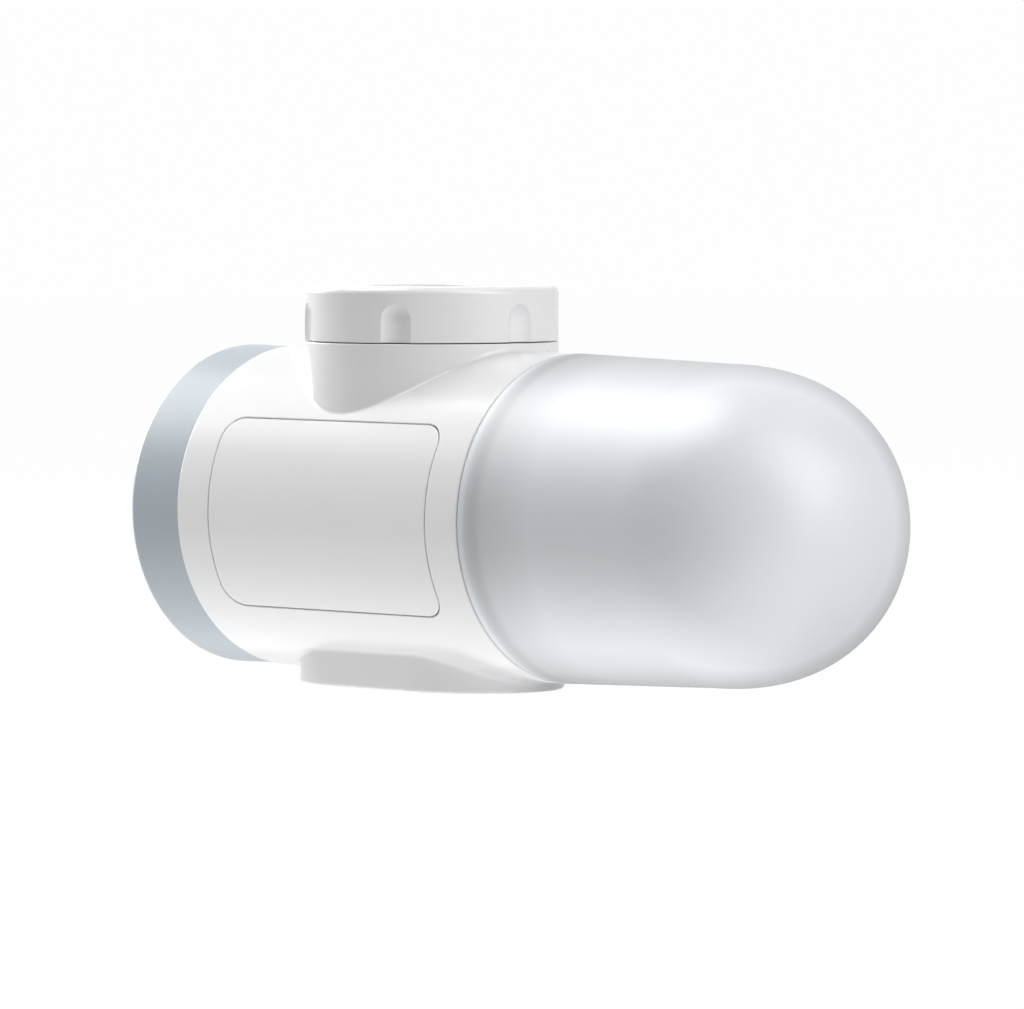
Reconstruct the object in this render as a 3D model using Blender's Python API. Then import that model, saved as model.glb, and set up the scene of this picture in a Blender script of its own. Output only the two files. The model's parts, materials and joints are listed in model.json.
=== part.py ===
"""A tap-mounted water filter, modelled as the separate pieces it comes apart into.

A horizontal barrel carries a swivel nut on top, a selector knob on its left end, a screwed cup
with the filter cartridge on its right end, and two outlets side by side in a flat boss below.
Metres, +Z up. The origin is the middle of the flat outlet face, under the inlet axis. Pieces are
modelled about the point where the barrel axis (X) crosses the inlet axis (Z).
"""

import math

import bmesh
import bpy
from mathutils import Matrix, Vector

# Clearances
GAP = 0.0003
MERGE = 1e-7

# Barrel
BODY_RADIUS = 0.0290
BODY_LEFT = 0.03585
BODY_RIGHT = 0.0362
BODY_EDGE = 0.0006
SHELL_WALL = 0.0030

# Inlet boss and swivel nut
NUT_RADIUS = 0.0227
NUT_HEIGHT = 0.0097
NUT_TOP_EDGE = 0.0013
NUT_WALL = 0.0029
NUT_LIP = 0.00205
NUT_SLEEVE_WALL = 0.0025
NUT_RIB_WIDTH = 0.0016
INLET_STANDOFF = 0.00145
THREAD_RADIUS = 0.0120
GRIP_COUNT = 6
GRIP_WIDTH = 0.0054
GRIP_DEPTH = 0.0010
GRIP_TOP_MARGIN = 0.0030

# Inlet stem, its seals and its strainer
STEM_RADIUS = 0.0090
STEM_BORE = 0.0060
STEM_DEPTH = 0.0107
STEM_FLANGE = 0.0014
STEM_TUBE_WALL = 0.0032
GASKET_THICKNESS = 0.0016
GASKET_BORE = 0.0072
STRAINER_RADIUS = 0.0077
STRAINER_THICKNESS = 0.0005
STRAINER_HOLE = 0.0007
STRAINER_PITCH = 0.0023
STRAINER_RINGS = 2
STEM_SEAL_DROP = 0.0045

# Round seals
SEAL_SECTION = 0.0007

# Front panel
PANEL_LEFT = 0.0274
PANEL_RIGHT = 0.0283
PANEL_HALF_ANGLE = math.radians(35.2)
PANEL_CORNER = 0.0044
PANEL_THICKNESS = 0.0016

# Diverter valve
VALVE_BORE = 0.0110
VALVE_WALL = 0.0030
VALVE_END = 0.0060
BULKHEAD = 0.0030
PORT_RADIUS = 0.0042
PORT_SEAL_WALL = 0.0018
PORT_SEAL_LENGTH = 0.0030
SPOOL_NECK = 0.0060
SPOOL_DRIVE = 0.0070
SPOOL_POCKET_WIDTH = 0.0080
SPOOL_POCKET_DEPTH = 0.0042
SPOOL_CROSS_BORE = 0.0032
SPOOL_SEAL_LEFT = 0.0240
SPOOL_SEAL_PITCH = 0.0055
FEED_HOLE = 0.0018

# Valve cover and its screws
COVER_THICKNESS = 0.0024
SCREW_CIRCLE = 0.0205
SCREW_RADIUS = 0.0014
SCREW_LENGTH = 0.0120
SCREW_HEAD_RADIUS = 0.0028
SCREW_HEAD_HEIGHT = 0.0018
SCREW_POST = 0.0034
STOP_RADIUS = 0.0140
STOP_HALF_WIDTH = 0.0017
STOP_DEPTH = 0.0032
STOP_HEIGHT = 0.0030

# Selector knob
KNOB_LENGTH = 0.01245
KNOB_EDGE = 0.0012
KNOB_SKIRT = 0.0026
KNOB_RIM = 0.0030
KNOB_DISH = 0.0056
KNOB_FLOOR = 0.0024
KNOB_HUB = 0.0085
KNOB_BAR_WIDTH = 0.0090
KNOB_BAR_DROP = 0.0007
KNOB_BAR_DRAFT = 0.0010
KNOB_SCREW_HEAD = 0.0027
KNOB_SCREW_RADIUS = 0.0013
KNOB_SCREW_LENGTH = 0.0150
KNOB_SCREW_RECESS = 0.0033
KNOB_CAP_THICKNESS = 0.0011
SELECTOR_TRAVEL = math.radians(90.0)

# Outlet boss and the two outlets
OUTLET_STANDOFF = 0.0020
OUTLET_HALF_WIDTH = 0.0160
OUTLET_CENTRE = 0.0110
OUTLET_POCKET_DEPTH = 0.0060
SPRAY_X = -0.0115
SPRAY_RADIUS = 0.0098
SPRAY_THICKNESS = 0.0014
SPRAY_RIM = 0.0012
SPRAY_DEPTH = 0.0042
SPRAY_HOLE = 0.0005
SPRAY_PITCH = 0.0036
SPRAY_RINGS = 2
RAW_PORT_X = -0.0110
STREAM_X = 0.0115
STREAM_RADIUS = 0.0078
STREAM_WALL = 0.0014
STREAM_LIP = 0.0012
STRAIGHTENER_THICKNESS = 0.0030
STRAIGHTENER_HOLE = 0.0013
STRAIGHTENER_PITCH = 0.0038
DECK_WALL = 0.0026
RETURN_X = 0.0143
RETURN_BORE = 0.0040
RETURN_WALL = 0.0020
OUTLET_RECESS = 0.0004

# Cup and the spigot that it screws onto
CUP_STEP = 0.00005
CUP_RIM = 0.00165
CUP_DRAFT = 0.00105
CUP_DOME_LENGTH = 0.0319
CUP_DOME_POWER = 2.36
CUP_WALL = 0.0026
CUP_THREAD_LENGTH = 0.0130
CUP_THREAD_GAP = 0.0010
SPIGOT_LENGTH = 0.0108
SPIGOT_WALL = 0.0026
CUP_SEAL_SECTION = 0.00075

# Cartridge
SOCKET_BORE = 0.0073
SOCKET_WALL = 0.0028
SOCKET_START = 0.0297
SOCKET_END = 0.0380
RETURN_TUBE_BORE = 0.0045
RETURN_TUBE_WALL = 0.0023
CARTRIDGE_CLEARANCE = 0.0020
CARTRIDGE_CAP = 0.0034
CARTRIDGE_SKIRT = 0.0040
CARTRIDGE_SKIRT_WALL = 0.0010
CARTRIDGE_LENGTH = 0.0437
CARTRIDGE_REACH_INTO_DOME = 0.0126
CARTRIDGE_SPIGOT_LENGTH = 0.0080
CARTRIDGE_SPIGOT_BORE = 0.0038
FLEECE_THICKNESS = 0.0030
CORE_RADIUS = 0.0050
CORE_WALL = 0.0012
CORE_HOLE = 0.0010
CORE_HOLE_ROWS = 4
CORE_HOLES_ROUND = 3
BUMPER_RADIUS = 0.0050
BUMPER_HEIGHT = 0.0030

# Facets round each size of circle
LARGE_ROUND = 40
NUT_ROUND = 36
MIDDLE_ROUND = 20
SMALL_ROUND = 14
TINY_ROUND = 6
SEAL_SIDES = 5
DOME_STEPS = 6
EXACT_STEPS = 2

# Places that follow from the sizes above
AXIS_HEIGHT = BODY_RADIUS + OUTLET_STANDOFF
SHELL_BORE = BODY_RADIUS - SHELL_WALL
BOSS_TOP = BODY_RADIUS + INLET_STANDOFF
NUT_BOTTOM = BOSS_TOP + GAP
NUT_TOP = NUT_BOTTOM + NUT_HEIGHT
FLANGE_BOTTOM = NUT_BOTTOM + NUT_LIP + GAP
FLANGE_TOP = FLANGE_BOTTOM + STEM_FLANGE
FLANGE_RADIUS = THREAD_RADIUS - 2 * GAP
GASKET_BOTTOM = FLANGE_TOP + GAP
COVER_LEFT = -BODY_LEFT + GAP
COVER_RIGHT = COVER_LEFT + COVER_THICKNESS
SLEEVE_LEFT = COVER_RIGHT + GAP
KNOB_RIGHT = -BODY_LEFT - GAP
KNOB_LEFT = KNOB_RIGHT - KNOB_LENGTH
KNOB_DISH_FLOOR = KNOB_LEFT + KNOB_DISH
KNOB_WALL_INSIDE = KNOB_DISH_FLOOR + KNOB_FLOOR
KNOB_BAR_TOP = KNOB_LEFT + KNOB_BAR_DROP
SPOOL_RADIUS = VALVE_BORE - GAP
SPOOL_RIGHT = VALVE_END - 2 * GAP
SPOOL_SEAL_STATIONS = (-SPOOL_SEAL_LEFT, SPOOL_SEAL_PITCH - SPOOL_SEAL_LEFT)
DRIVE_LEFT = KNOB_WALL_INSIDE - GAP
OUTLET_BOTTOM = -AXIS_HEIGHT
POCKET_TOP = OUTLET_BOTTOM + OUTLET_POCKET_DEPTH
CUP_MOUTH_RADIUS = BODY_RADIUS - CUP_STEP
CUP_SHOULDER_RADIUS = CUP_MOUTH_RADIUS - CUP_DRAFT
CUP_REBATE_RADIUS = CUP_MOUTH_RADIUS - CUP_RIM
SPIGOT_RADIUS = CUP_REBATE_RADIUS - 2 * GAP - 2 * CUP_SEAL_SECTION
SPIGOT_BORE = SPIGOT_RADIUS - SPIGOT_WALL
SPIGOT_END = BODY_RIGHT + SPIGOT_LENGTH
CUP_MOUTH = BODY_RIGHT + GAP
CUP_REBATE_END = CUP_MOUTH + 2 * GAP + 2 * CUP_SEAL_SECTION
CUP_BORE = SPIGOT_RADIUS + CUP_THREAD_GAP
CARTRIDGE_LEFT = SOCKET_END + GAP
MEDIA_LEFT = CARTRIDGE_LEFT + CARTRIDGE_CAP + GAP
MEDIA_RIGHT = MEDIA_LEFT + CARTRIDGE_LENGTH
CUP_DOME_START = MEDIA_RIGHT - CARTRIDGE_REACH_INTO_DOME
CUP_TAPER_LENGTH = CUP_DOME_START - CUP_MOUTH
CARTRIDGE_RADIUS = SPIGOT_BORE - CARTRIDGE_CLEARANCE
FLEECE_RADIUS = CARTRIDGE_RADIUS - CARTRIDGE_SKIRT_WALL - GAP
MEDIA_RADIUS = FLEECE_RADIUS - FLEECE_THICKNESS

WHITE = ("white_abs", (0.87, 0.88, 0.89), 0.35, 0.0)
GREY = ("blue_grey_abs", (0.40, 0.45, 0.49), 0.40, 0.0)
FROSTED = ("frosted_cup", (0.72, 0.76, 0.79), 0.45, 0.0)
ACETAL = ("natural_acetal", (0.80, 0.80, 0.76), 0.40, 0.0)
RUBBER = ("black_rubber", (0.03, 0.03, 0.03), 0.70, 0.0)
STEEL = ("stainless_steel", (0.62, 0.62, 0.62), 0.25, 1.0)
CARBON = ("activated_carbon", (0.02, 0.02, 0.02), 0.95, 0.0)
FLEECE = ("filter_fleece", (0.86, 0.86, 0.82), 0.95, 0.0)
CARTRIDGE_PLASTIC = ("cartridge_plastic", (0.70, 0.78, 0.84), 0.40, 0.0)


def clear_scene():
    for obj in list(bpy.data.objects):
        bpy.data.objects.remove(obj, do_unlink=True)


def material(finish):
    """The material of a finish, made on its first use."""
    name, colour, roughness, metallic = finish
    found = bpy.data.materials.get(name)
    if found:
        return found
    made = bpy.data.materials.new(name)
    made.use_nodes = True
    shader = made.node_tree.nodes["Principled BSDF"]
    shader.inputs["Base Color"].default_value = (*colour, 1.0)
    shader.inputs["Roughness"].default_value = roughness
    shader.inputs["Metallic"].default_value = metallic
    made.diffuse_color = (*colour, 1.0)
    return made


def add_object(name, bm, finish=None):
    """Puts a mesh in the scene, hung on the crossing of the barrel and inlet axes."""
    mesh = bpy.data.meshes.new(name)
    bmesh.ops.recalc_face_normals(bm, faces=bm.faces)
    bm.to_mesh(mesh)
    bm.free()
    mesh.shade_smooth()
    mesh.set_sharp_from_angle(angle=math.radians(30))
    obj = bpy.data.objects.new(name, mesh)
    bpy.context.scene.collection.objects.link(obj)
    obj.parent = bpy.data.objects["axis_crossing"]
    if finish:
        mesh.materials.append(material(finish))
    else:
        obj.hide_render = True
        obj.display_type = "WIRE"
    return obj


def revolved(profile, axis="X", segments=LARGE_ROUND, closed=False, centre=(0, 0, 0)):
    """A mesh turned about X or Z from (along, radius) points.

    An open profile starts and ends on the axis. A closed one goes round a ring's section.
    """
    bm = bmesh.new()
    if axis == "X":
        turn, points = Vector((1, 0, 0)), [(along, 0, radius) for along, radius in profile]
    else:
        turn, points = Vector((0, 0, 1)), [(radius, 0, along) for along, radius in profile]
    verts = [bm.verts.new(Vector(point) + Vector(centre)) for point in points]
    followers = verts[1:] + verts[:1] if closed else verts[1:]
    edges = [bm.edges.new(pair) for pair in zip(verts, followers)]
    bmesh.ops.spin(
        bm, geom=verts + edges, cent=centre, axis=turn, angle=math.tau, steps=segments
    )
    bmesh.ops.remove_doubles(bm, verts=bm.verts, dist=MERGE)
    return bm


def rod(start, end, radius, axis="X", segments=SMALL_ROUND, centre=(0, 0, 0)):
    """A solid cylinder between two stations along an axis."""
    profile = [(start, 0), (start, radius), (end, radius), (end, 0)]
    return revolved(profile, axis, segments, centre=centre)


def tube(start, end, bore, radius, axis="X", segments=MIDDLE_ROUND, centre=(0, 0, 0)):
    """A plain tube between two stations along an axis."""
    profile = [(start, bore), (start, radius), (end, radius), (end, bore)]
    return revolved(profile, axis, segments, closed=True, centre=centre)


def round_seal(name, station, centre_radius, section, axis="X", centre=(0, 0, 0)):
    """A rubber ring of round section."""
    turns = [math.tau * step / SEAL_SIDES for step in range(SEAL_SIDES)]
    profile = [
        (station + section * math.cos(t), centre_radius + section * math.sin(t)) for t in turns
    ]
    bm = revolved(profile, axis, MIDDLE_ROUND, closed=True, centre=centre)
    return add_object(name, bm, RUBBER)


def arc(along, radius, size, start, end, steps=4):
    """Profile points on an arc, in degrees from the along direction."""
    turns = [math.radians(start + (end - start) * step / steps) for step in range(steps + 1)]
    return [(along + size * math.cos(t), radius + size * math.sin(t)) for t in turns]


def block(low, high):
    """A box between two corners."""
    bm = bmesh.new()
    bmesh.ops.create_cube(bm, size=1.0)
    low, high = Vector(low), Vector(high)
    size = Matrix.Diagonal((*(high - low), 1.0))
    bmesh.ops.transform(bm, matrix=Matrix.Translation((low + high) / 2) @ size, verts=bm.verts)
    return bm


def prism(outline, travel):
    """A flat outline of 3-D points swept straight along a vector."""
    bm = bmesh.new()
    face = bm.faces.new([bm.verts.new(point) for point in outline])
    swept = bmesh.ops.extrude_face_region(bm, geom=[face])
    moved = [item for item in swept["geom"] if isinstance(item, bmesh.types.BMVert)]
    bmesh.ops.translate(bm, vec=travel, verts=moved)
    return bm


def turned(bm, angle, axis="X"):
    """The mesh turned about an axis through the crossing."""
    bmesh.ops.transform(bm, matrix=Matrix.Rotation(angle, 4, axis), verts=bm.verts)
    return bm


def combine(target, operation, name, bm):
    """Cuts, fuses or intersects a target with a guide mesh.

    After a few steps on one piece, rounding makes the exact solver leave open edges, so the
    manifold solver takes the later ones.
    """
    guide = bm if isinstance(bm, bpy.types.Object) else add_object(name, bm)
    modifier = target.modifiers.new(name, "BOOLEAN")
    modifier.operation = operation
    modifier.solver = "EXACT" if len(target.modifiers) <= EXACT_STEPS else "MANIFOLD"
    modifier.object = guide
    return guide


def cut(target, name, bm):
    return combine(target, "DIFFERENCE", name, bm)


def fuse(target, name, bm):
    return combine(target, "UNION", name, bm)


def corners_rounded(low, high, corner, steps=5):
    """Points of a rounded rectangle in a plane, counter-clockwise."""
    points = []
    corners = [
        (high[0] - corner, high[1] - corner, 0),
        (low[0] + corner, high[1] - corner, 90),
        (low[0] + corner, low[1] + corner, 180),
        (high[0] - corner, low[1] + corner, 270),
    ]
    for x, y, start in corners:
        points += arc(x, y, corner, start, start + 90, steps)
    return points


def hole_centres(pitch, rings):
    """Centres of a hexagonal pattern of holes about the origin."""
    centres = [(0.0, 0.0)]
    for ring in range(1, rings + 1):
        count = 6 * ring
        radius = pitch * ring
        for step in range(count):
            turn = math.tau * step / count
            centres.append((radius * math.cos(turn), radius * math.sin(turn)))
    return centres


def hole_pins(pitch, rings, radius, low, high, x, sides=6):
    """Pins for a pattern of small upright holes, all in one mesh."""
    bm = bmesh.new()
    for along, across in hole_centres(pitch, rings):
        place = Matrix.Translation((x + along, across, (low + high) / 2))
        bmesh.ops.create_cone(
            bm, cap_ends=True, segments=sides, radius1=radius, radius2=radius,
            depth=high - low, matrix=place,
        )
    return bm


def main_housing():
    """The moulded barrel with its inlet boss, outlet boss, valve sleeve and cup spigot."""
    edge = BODY_EDGE
    outer = [
        (-BODY_LEFT, 0),
        (-BODY_LEFT, BODY_RADIUS - edge),
        *arc(-BODY_LEFT + edge, BODY_RADIUS - edge, edge, 180, 90, 2)[1:],
        *arc(BODY_RIGHT - edge, BODY_RADIUS - edge, edge, 90, 0, 2),
        (BODY_RIGHT, SPIGOT_RADIUS),
        (SPIGOT_END - edge, SPIGOT_RADIUS),
        (SPIGOT_END, SPIGOT_RADIUS - edge),
        (SPIGOT_END, 0),
    ]
    housing = add_object("main_housing", revolved(outer), WHITE)
    fuse(housing, "inlet_boss", rod(0, BOSS_TOP, NUT_RADIUS, "Z", LARGE_ROUND))
    fuse(housing, "outlet_boss",
         stadium(OUTLET_CENTRE, OUTLET_HALF_WIDTH, OUTLET_BOTTOM, -VALVE_BORE))
    shape_inside(housing)
    shape_valve(housing)
    shape_outlets(housing)
    shape_inlet(housing)
    panel_seat = panel_blank("panel_seat", GAP, PANEL_THICKNESS + GAP, BODY_EDGE)
    combine(housing, "DIFFERENCE", "panel_seat", panel_seat)
    return housing


def stadium(centre, half_width, low, high):
    """An upright block with two round ends joined by straight sides."""
    right = arc(centre, 0, half_width, -90, 90, SMALL_ROUND // 2)
    left = arc(-centre, 0, half_width, 90, 270, SMALL_ROUND // 2)
    return prism([(x, y, low) for x, y in right + left], (0, 0, high - low))


def shape_inside(housing):
    """The hollow round the valve, the chamber behind the cup, and what crosses them."""
    sleeve = VALVE_BORE + VALVE_WALL
    margin = BODY_LEFT + SHELL_WALL
    hollow = [
        (-margin, 0),
        (-margin, SHELL_BORE),
        (VALVE_END, SHELL_BORE),
        (VALVE_END, sleeve),
        (SLEEVE_LEFT, sleeve),
        (SLEEVE_LEFT, 0),
    ]
    cut(housing, "valve_side_hollow", revolved(hollow))
    chamber_start = VALVE_END + BULKHEAD
    chamber = rod(chamber_start, SPIGOT_END + SHELL_WALL, SPIGOT_BORE, segments=LARGE_ROUND)
    cut(housing, "filter_chamber", chamber)
    for index in range(4):
        turn = math.tau * (index + 0.5) / 4
        post = rod(SLEEVE_LEFT, VALVE_END + GAP, SCREW_POST, segments=2 * TINY_ROUND,
                   centre=(0, 0, SCREW_CIRCLE))
        fuse(housing, f"screw_post_{index + 1}", turned(post, turn))
        pilot = rod(-BODY_LEFT, SLEEVE_LEFT + SCREW_LENGTH, SCREW_RADIUS + GAP,
                    segments=TINY_ROUND, centre=(0, 0, SCREW_CIRCLE))
        cut(housing, f"screw_pilot_{index + 1}", turned(pilot, turn))
    socket_radius = SOCKET_BORE + SOCKET_WALL
    tube_radius = RETURN_TUBE_BORE + RETURN_TUBE_WALL
    return_tube = [
        (VALVE_END + GAP, 0),
        (VALVE_END + GAP, tube_radius),
        (SOCKET_START - SOCKET_WALL, tube_radius),
        (SOCKET_START, socket_radius),
        (SOCKET_END, socket_radius),
        (SOCKET_END, 0),
    ]
    fuse(housing, "cartridge_socket", revolved(return_tube, segments=MIDDLE_ROUND))
    down = rod(-SPIGOT_BORE - GAP, 0, RETURN_BORE + RETURN_WALL, "Z", centre=(RETURN_X, 0, 0))
    fuse(housing, "return_pipe", down)


def shape_valve(housing):
    """The raw-water pipe, the valve bore and the feed holes through the bulkhead."""
    seal_seat = PORT_RADIUS + PORT_SEAL_WALL + GAP
    pipe = seal_seat + RETURN_WALL
    fuse(housing, "inlet_pipe",
         rod(0, BODY_RADIUS, STEM_RADIUS + STEM_TUBE_WALL, "Z", MIDDLE_ROUND))
    fuse(housing, "raw_pipe", rod(POCKET_TOP, 0, pipe, "Z", centre=(RAW_PORT_X, 0, 0)))
    cut(housing, "valve_bore", rod(-BODY_LEFT, VALVE_END, VALVE_BORE, segments=MIDDLE_ROUND))
    mid_radius = (VALVE_BORE + RETURN_TUBE_BORE + RETURN_TUBE_WALL) / 2
    for index in range(4):
        feed = rod(VALVE_END - BULKHEAD, VALVE_END + 2 * BULKHEAD, FEED_HOLE,
                   segments=TINY_ROUND, centre=(0, 0, mid_radius))
        cut(housing, f"feed_hole_{index + 1}", turned(feed, math.tau * (index + 0.5) / 4))
    socket = [
        (VALVE_END + BULKHEAD + 2 * GAP, 0),
        (VALVE_END + BULKHEAD + 2 * GAP, RETURN_TUBE_BORE),
        (SOCKET_START, RETURN_TUBE_BORE),
        (SOCKET_START, SOCKET_BORE),
        (SOCKET_END + SHELL_WALL, SOCKET_BORE),
        (SOCKET_END + SHELL_WALL, 0),
    ]
    cut(housing, "return_bore", revolved(socket, segments=MIDDLE_ROUND))


def shape_outlets(housing):
    """The deck over the two outlets, their pockets, and the pipes that feed them."""
    deck = SPRAY_RADIUS + GAP + DECK_WALL
    floor = OUTLET_BOTTOM + OUTLET_STANDOFF
    fuse(housing, "outlet_deck", stadium(-SPRAY_X, deck, floor, POCKET_TOP + DECK_WALL))
    below = OUTLET_BOTTOM - OUTLET_STANDOFF
    cut(housing, "spray_pocket",
        rod(below, POCKET_TOP, SPRAY_RADIUS + GAP, "Z", MIDDLE_ROUND, (SPRAY_X, 0, 0)))
    cut(housing, "stream_pocket",
        rod(below, POCKET_TOP, STREAM_RADIUS + GAP, "Z", MIDDLE_ROUND, (STREAM_X, 0, 0)))
    seat = PORT_RADIUS + PORT_SEAL_WALL + GAP
    seat_end = VALVE_BORE + GAP + PORT_SEAL_LENGTH
    raw = [(POCKET_TOP - GAP, 0), (POCKET_TOP - GAP, PORT_RADIUS), (-seat_end, PORT_RADIUS),
           (-seat_end, seat), (-VALVE_BORE / 2, seat), (-VALVE_BORE / 2, 0)]
    cut(housing, "raw_bore", revolved(raw, "Z", SMALL_ROUND, centre=(RAW_PORT_X, 0, 0)))
    cut(housing, "return_down_bore",
        rod(POCKET_TOP - GAP, 0, RETURN_BORE, "Z", centre=(RETURN_X, 0, 0)))


def shape_inlet(housing):
    """The stepped bore from the inlet stem down to the valve."""
    seat = PORT_RADIUS + PORT_SEAL_WALL + GAP
    seat_end = VALVE_BORE + GAP + PORT_SEAL_LENGTH
    stem_floor = BOSS_TOP - STEM_DEPTH - GAP
    bore = [
        (VALVE_BORE / 2, 0),
        (VALVE_BORE / 2, seat),
        (seat_end, seat),
        (seat_end, PORT_RADIUS),
        (stem_floor, PORT_RADIUS),
        (stem_floor, STEM_RADIUS + GAP),
        (BOSS_TOP + SHELL_WALL, STEM_RADIUS + GAP),
        (BOSS_TOP + SHELL_WALL, 0),
    ]
    cut(housing, "inlet_bore", revolved(bore, "Z", MIDDLE_ROUND))


def panel_blank(name, margin, depth, proud):
    """A curved plate of the panel's outline, grown by a margin, from the skin inwards."""
    half_height = BODY_RADIUS * math.sin(PANEL_HALF_ANGLE) + margin
    low = (-PANEL_LEFT - margin, -half_height)
    high = (PANEL_RIGHT + margin, half_height)
    outline = corners_rounded(low, high, PANEL_CORNER + margin)
    plate = prism([(x, -BODY_RADIUS * 1.2, z) for x, z in outline], (0, BODY_RADIUS, 0))
    blank = add_object(name, plate)
    skin = tube(low[0] - SHELL_WALL, high[0] + SHELL_WALL, BODY_RADIUS - depth,
                BODY_RADIUS + proud, segments=LARGE_ROUND)
    combine(blank, "INTERSECT", name + "_skin", skin)
    return blank


def front_panel():
    """The flush snap-in panel on the front of the barrel."""
    panel = panel_blank("front_panel", 0.0, PANEL_THICKNESS, 0.0)
    panel.data.materials.append(material(WHITE))
    panel.hide_render = False
    panel.display_type = "TEXTURED"
    return panel


def collar_nut():
    """The swivel nut: an outer grip ring, a threaded sleeve and a lip under the stem flange."""
    top = NUT_TOP
    edge = NUT_TOP_EDGE
    core_inner = THREAD_RADIUS + NUT_SLEEVE_WALL
    core_outer = NUT_RADIUS - NUT_WALL
    core_top = top - NUT_SLEEVE_WALL
    lip = STEM_RADIUS + GAP
    profile = [
        (NUT_BOTTOM, lip),
        (NUT_BOTTOM, core_inner),
        (core_top, core_inner),
        (core_top, core_outer),
        (NUT_BOTTOM, core_outer),
        (NUT_BOTTOM, NUT_RADIUS),
        *arc(top - edge, NUT_RADIUS - edge, edge, 90, 0, 3),
        (top, THREAD_RADIUS + BODY_EDGE),
        (top - BODY_EDGE, THREAD_RADIUS),
        (NUT_BOTTOM + NUT_LIP, THREAD_RADIUS),
        (NUT_BOTTOM + NUT_LIP, lip),
    ]
    nut = add_object("collar_nut", revolved(profile, "Z", NUT_ROUND, closed=True), WHITE)
    for index in range(GRIP_COUNT):
        turn = math.tau * index / GRIP_COUNT
        rib = block((core_inner - GAP, -NUT_RIB_WIDTH / 2, NUT_BOTTOM + GAP),
                    (core_outer + GAP, NUT_RIB_WIDTH / 2, core_top + GAP))
        fuse(nut, f"nut_rib_{index + 1}", turned(rib, turn, "Z"))
        cut(nut, f"grip_{index + 1}", turned(grip_cutter(), turn, "Z"))
    return nut


def grip_cutter():
    """A round-ended pin that cuts one shallow grip flute with an arched top."""
    half = GRIP_WIDTH / 2
    radius = (half * half + GRIP_DEPTH * GRIP_DEPTH) / (2 * GRIP_DEPTH)
    centre = NUT_RADIUS + radius - GRIP_DEPTH
    arch_centre = NUT_TOP - GRIP_TOP_MARGIN - half
    dome = arc(arch_centre, 0, radius, 90, 0, 4)
    profile = [(NUT_BOTTOM - NUT_LIP, 0), (NUT_BOTTOM - NUT_LIP, radius), *dome[:-1]]
    profile.append((arch_centre + radius, 0))
    return revolved(profile, "Z", MIDDLE_ROUND, centre=(centre, 0, 0))


def inlet_pieces():
    """The stem that the nut swivels on, with its seal, strainer and gasket."""
    bottom = BOSS_TOP - STEM_DEPTH
    seal = bottom + STEM_SEAL_DROP
    seal_radius = STEM_RADIUS - SEAL_SECTION
    groove = seal_radius - SEAL_SECTION - GAP
    half_groove = SEAL_SECTION + GAP
    strainer_seat = STRAINER_RADIUS + GAP
    strainer_floor = FLANGE_TOP - STRAINER_THICKNESS - 2 * GAP
    profile = [
        (bottom, STEM_BORE),
        (bottom, STEM_RADIUS),
        (seal - half_groove, STEM_RADIUS),
        (seal - half_groove, groove),
        (seal + half_groove, groove),
        (seal + half_groove, STEM_RADIUS),
        (FLANGE_BOTTOM, STEM_RADIUS),
        (FLANGE_BOTTOM, FLANGE_RADIUS),
        (FLANGE_TOP, FLANGE_RADIUS),
        (FLANGE_TOP, strainer_seat),
        (strainer_floor, strainer_seat),
        (strainer_floor, STEM_BORE),
    ]
    add_object("inlet_stem", revolved(profile, "Z", MIDDLE_ROUND, closed=True), ACETAL)
    round_seal("stem_seal", seal, seal_radius, SEAL_SECTION, "Z")
    low = strainer_floor + GAP
    strainer = add_object(
        "inlet_strainer",
        rod(low, low + STRAINER_THICKNESS, STRAINER_RADIUS, "Z", MIDDLE_ROUND),
        STEEL,
    )
    cut(strainer, "strainer_holes",
        hole_pins(STRAINER_PITCH, STRAINER_RINGS, STRAINER_HOLE, low - GAP,
                  FLANGE_TOP + GAP, 0, sides=4))
    gasket = tube(GASKET_BOTTOM, GASKET_BOTTOM + GASKET_THICKNESS, GASKET_BORE,
                  FLANGE_RADIUS, "Z")
    add_object("inlet_gasket", gasket, RUBBER)


def port_seals():
    """The two rubber sleeves that press on the spool, with saddle-shaped ends."""
    radius = PORT_RADIUS + PORT_SEAL_WALL
    places = (("upper_port_seal", 0.0, 1), ("lower_port_seal", RAW_PORT_X, -1))
    for name, x, side in places:
        ends = sorted((side * VALVE_BORE / 2, side * (VALVE_BORE + PORT_SEAL_LENGTH)))
        bore = PORT_RADIUS
        sleeve = tube(*ends, bore, radius, "Z", SMALL_ROUND, (x, 0, 0))
        seal = add_object(name, sleeve, RUBBER)
        relief = rod(x - 2 * radius, x + 2 * radius, VALVE_BORE, segments=MIDDLE_ROUND)
        cut(seal, name + "_saddle", relief)


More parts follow.
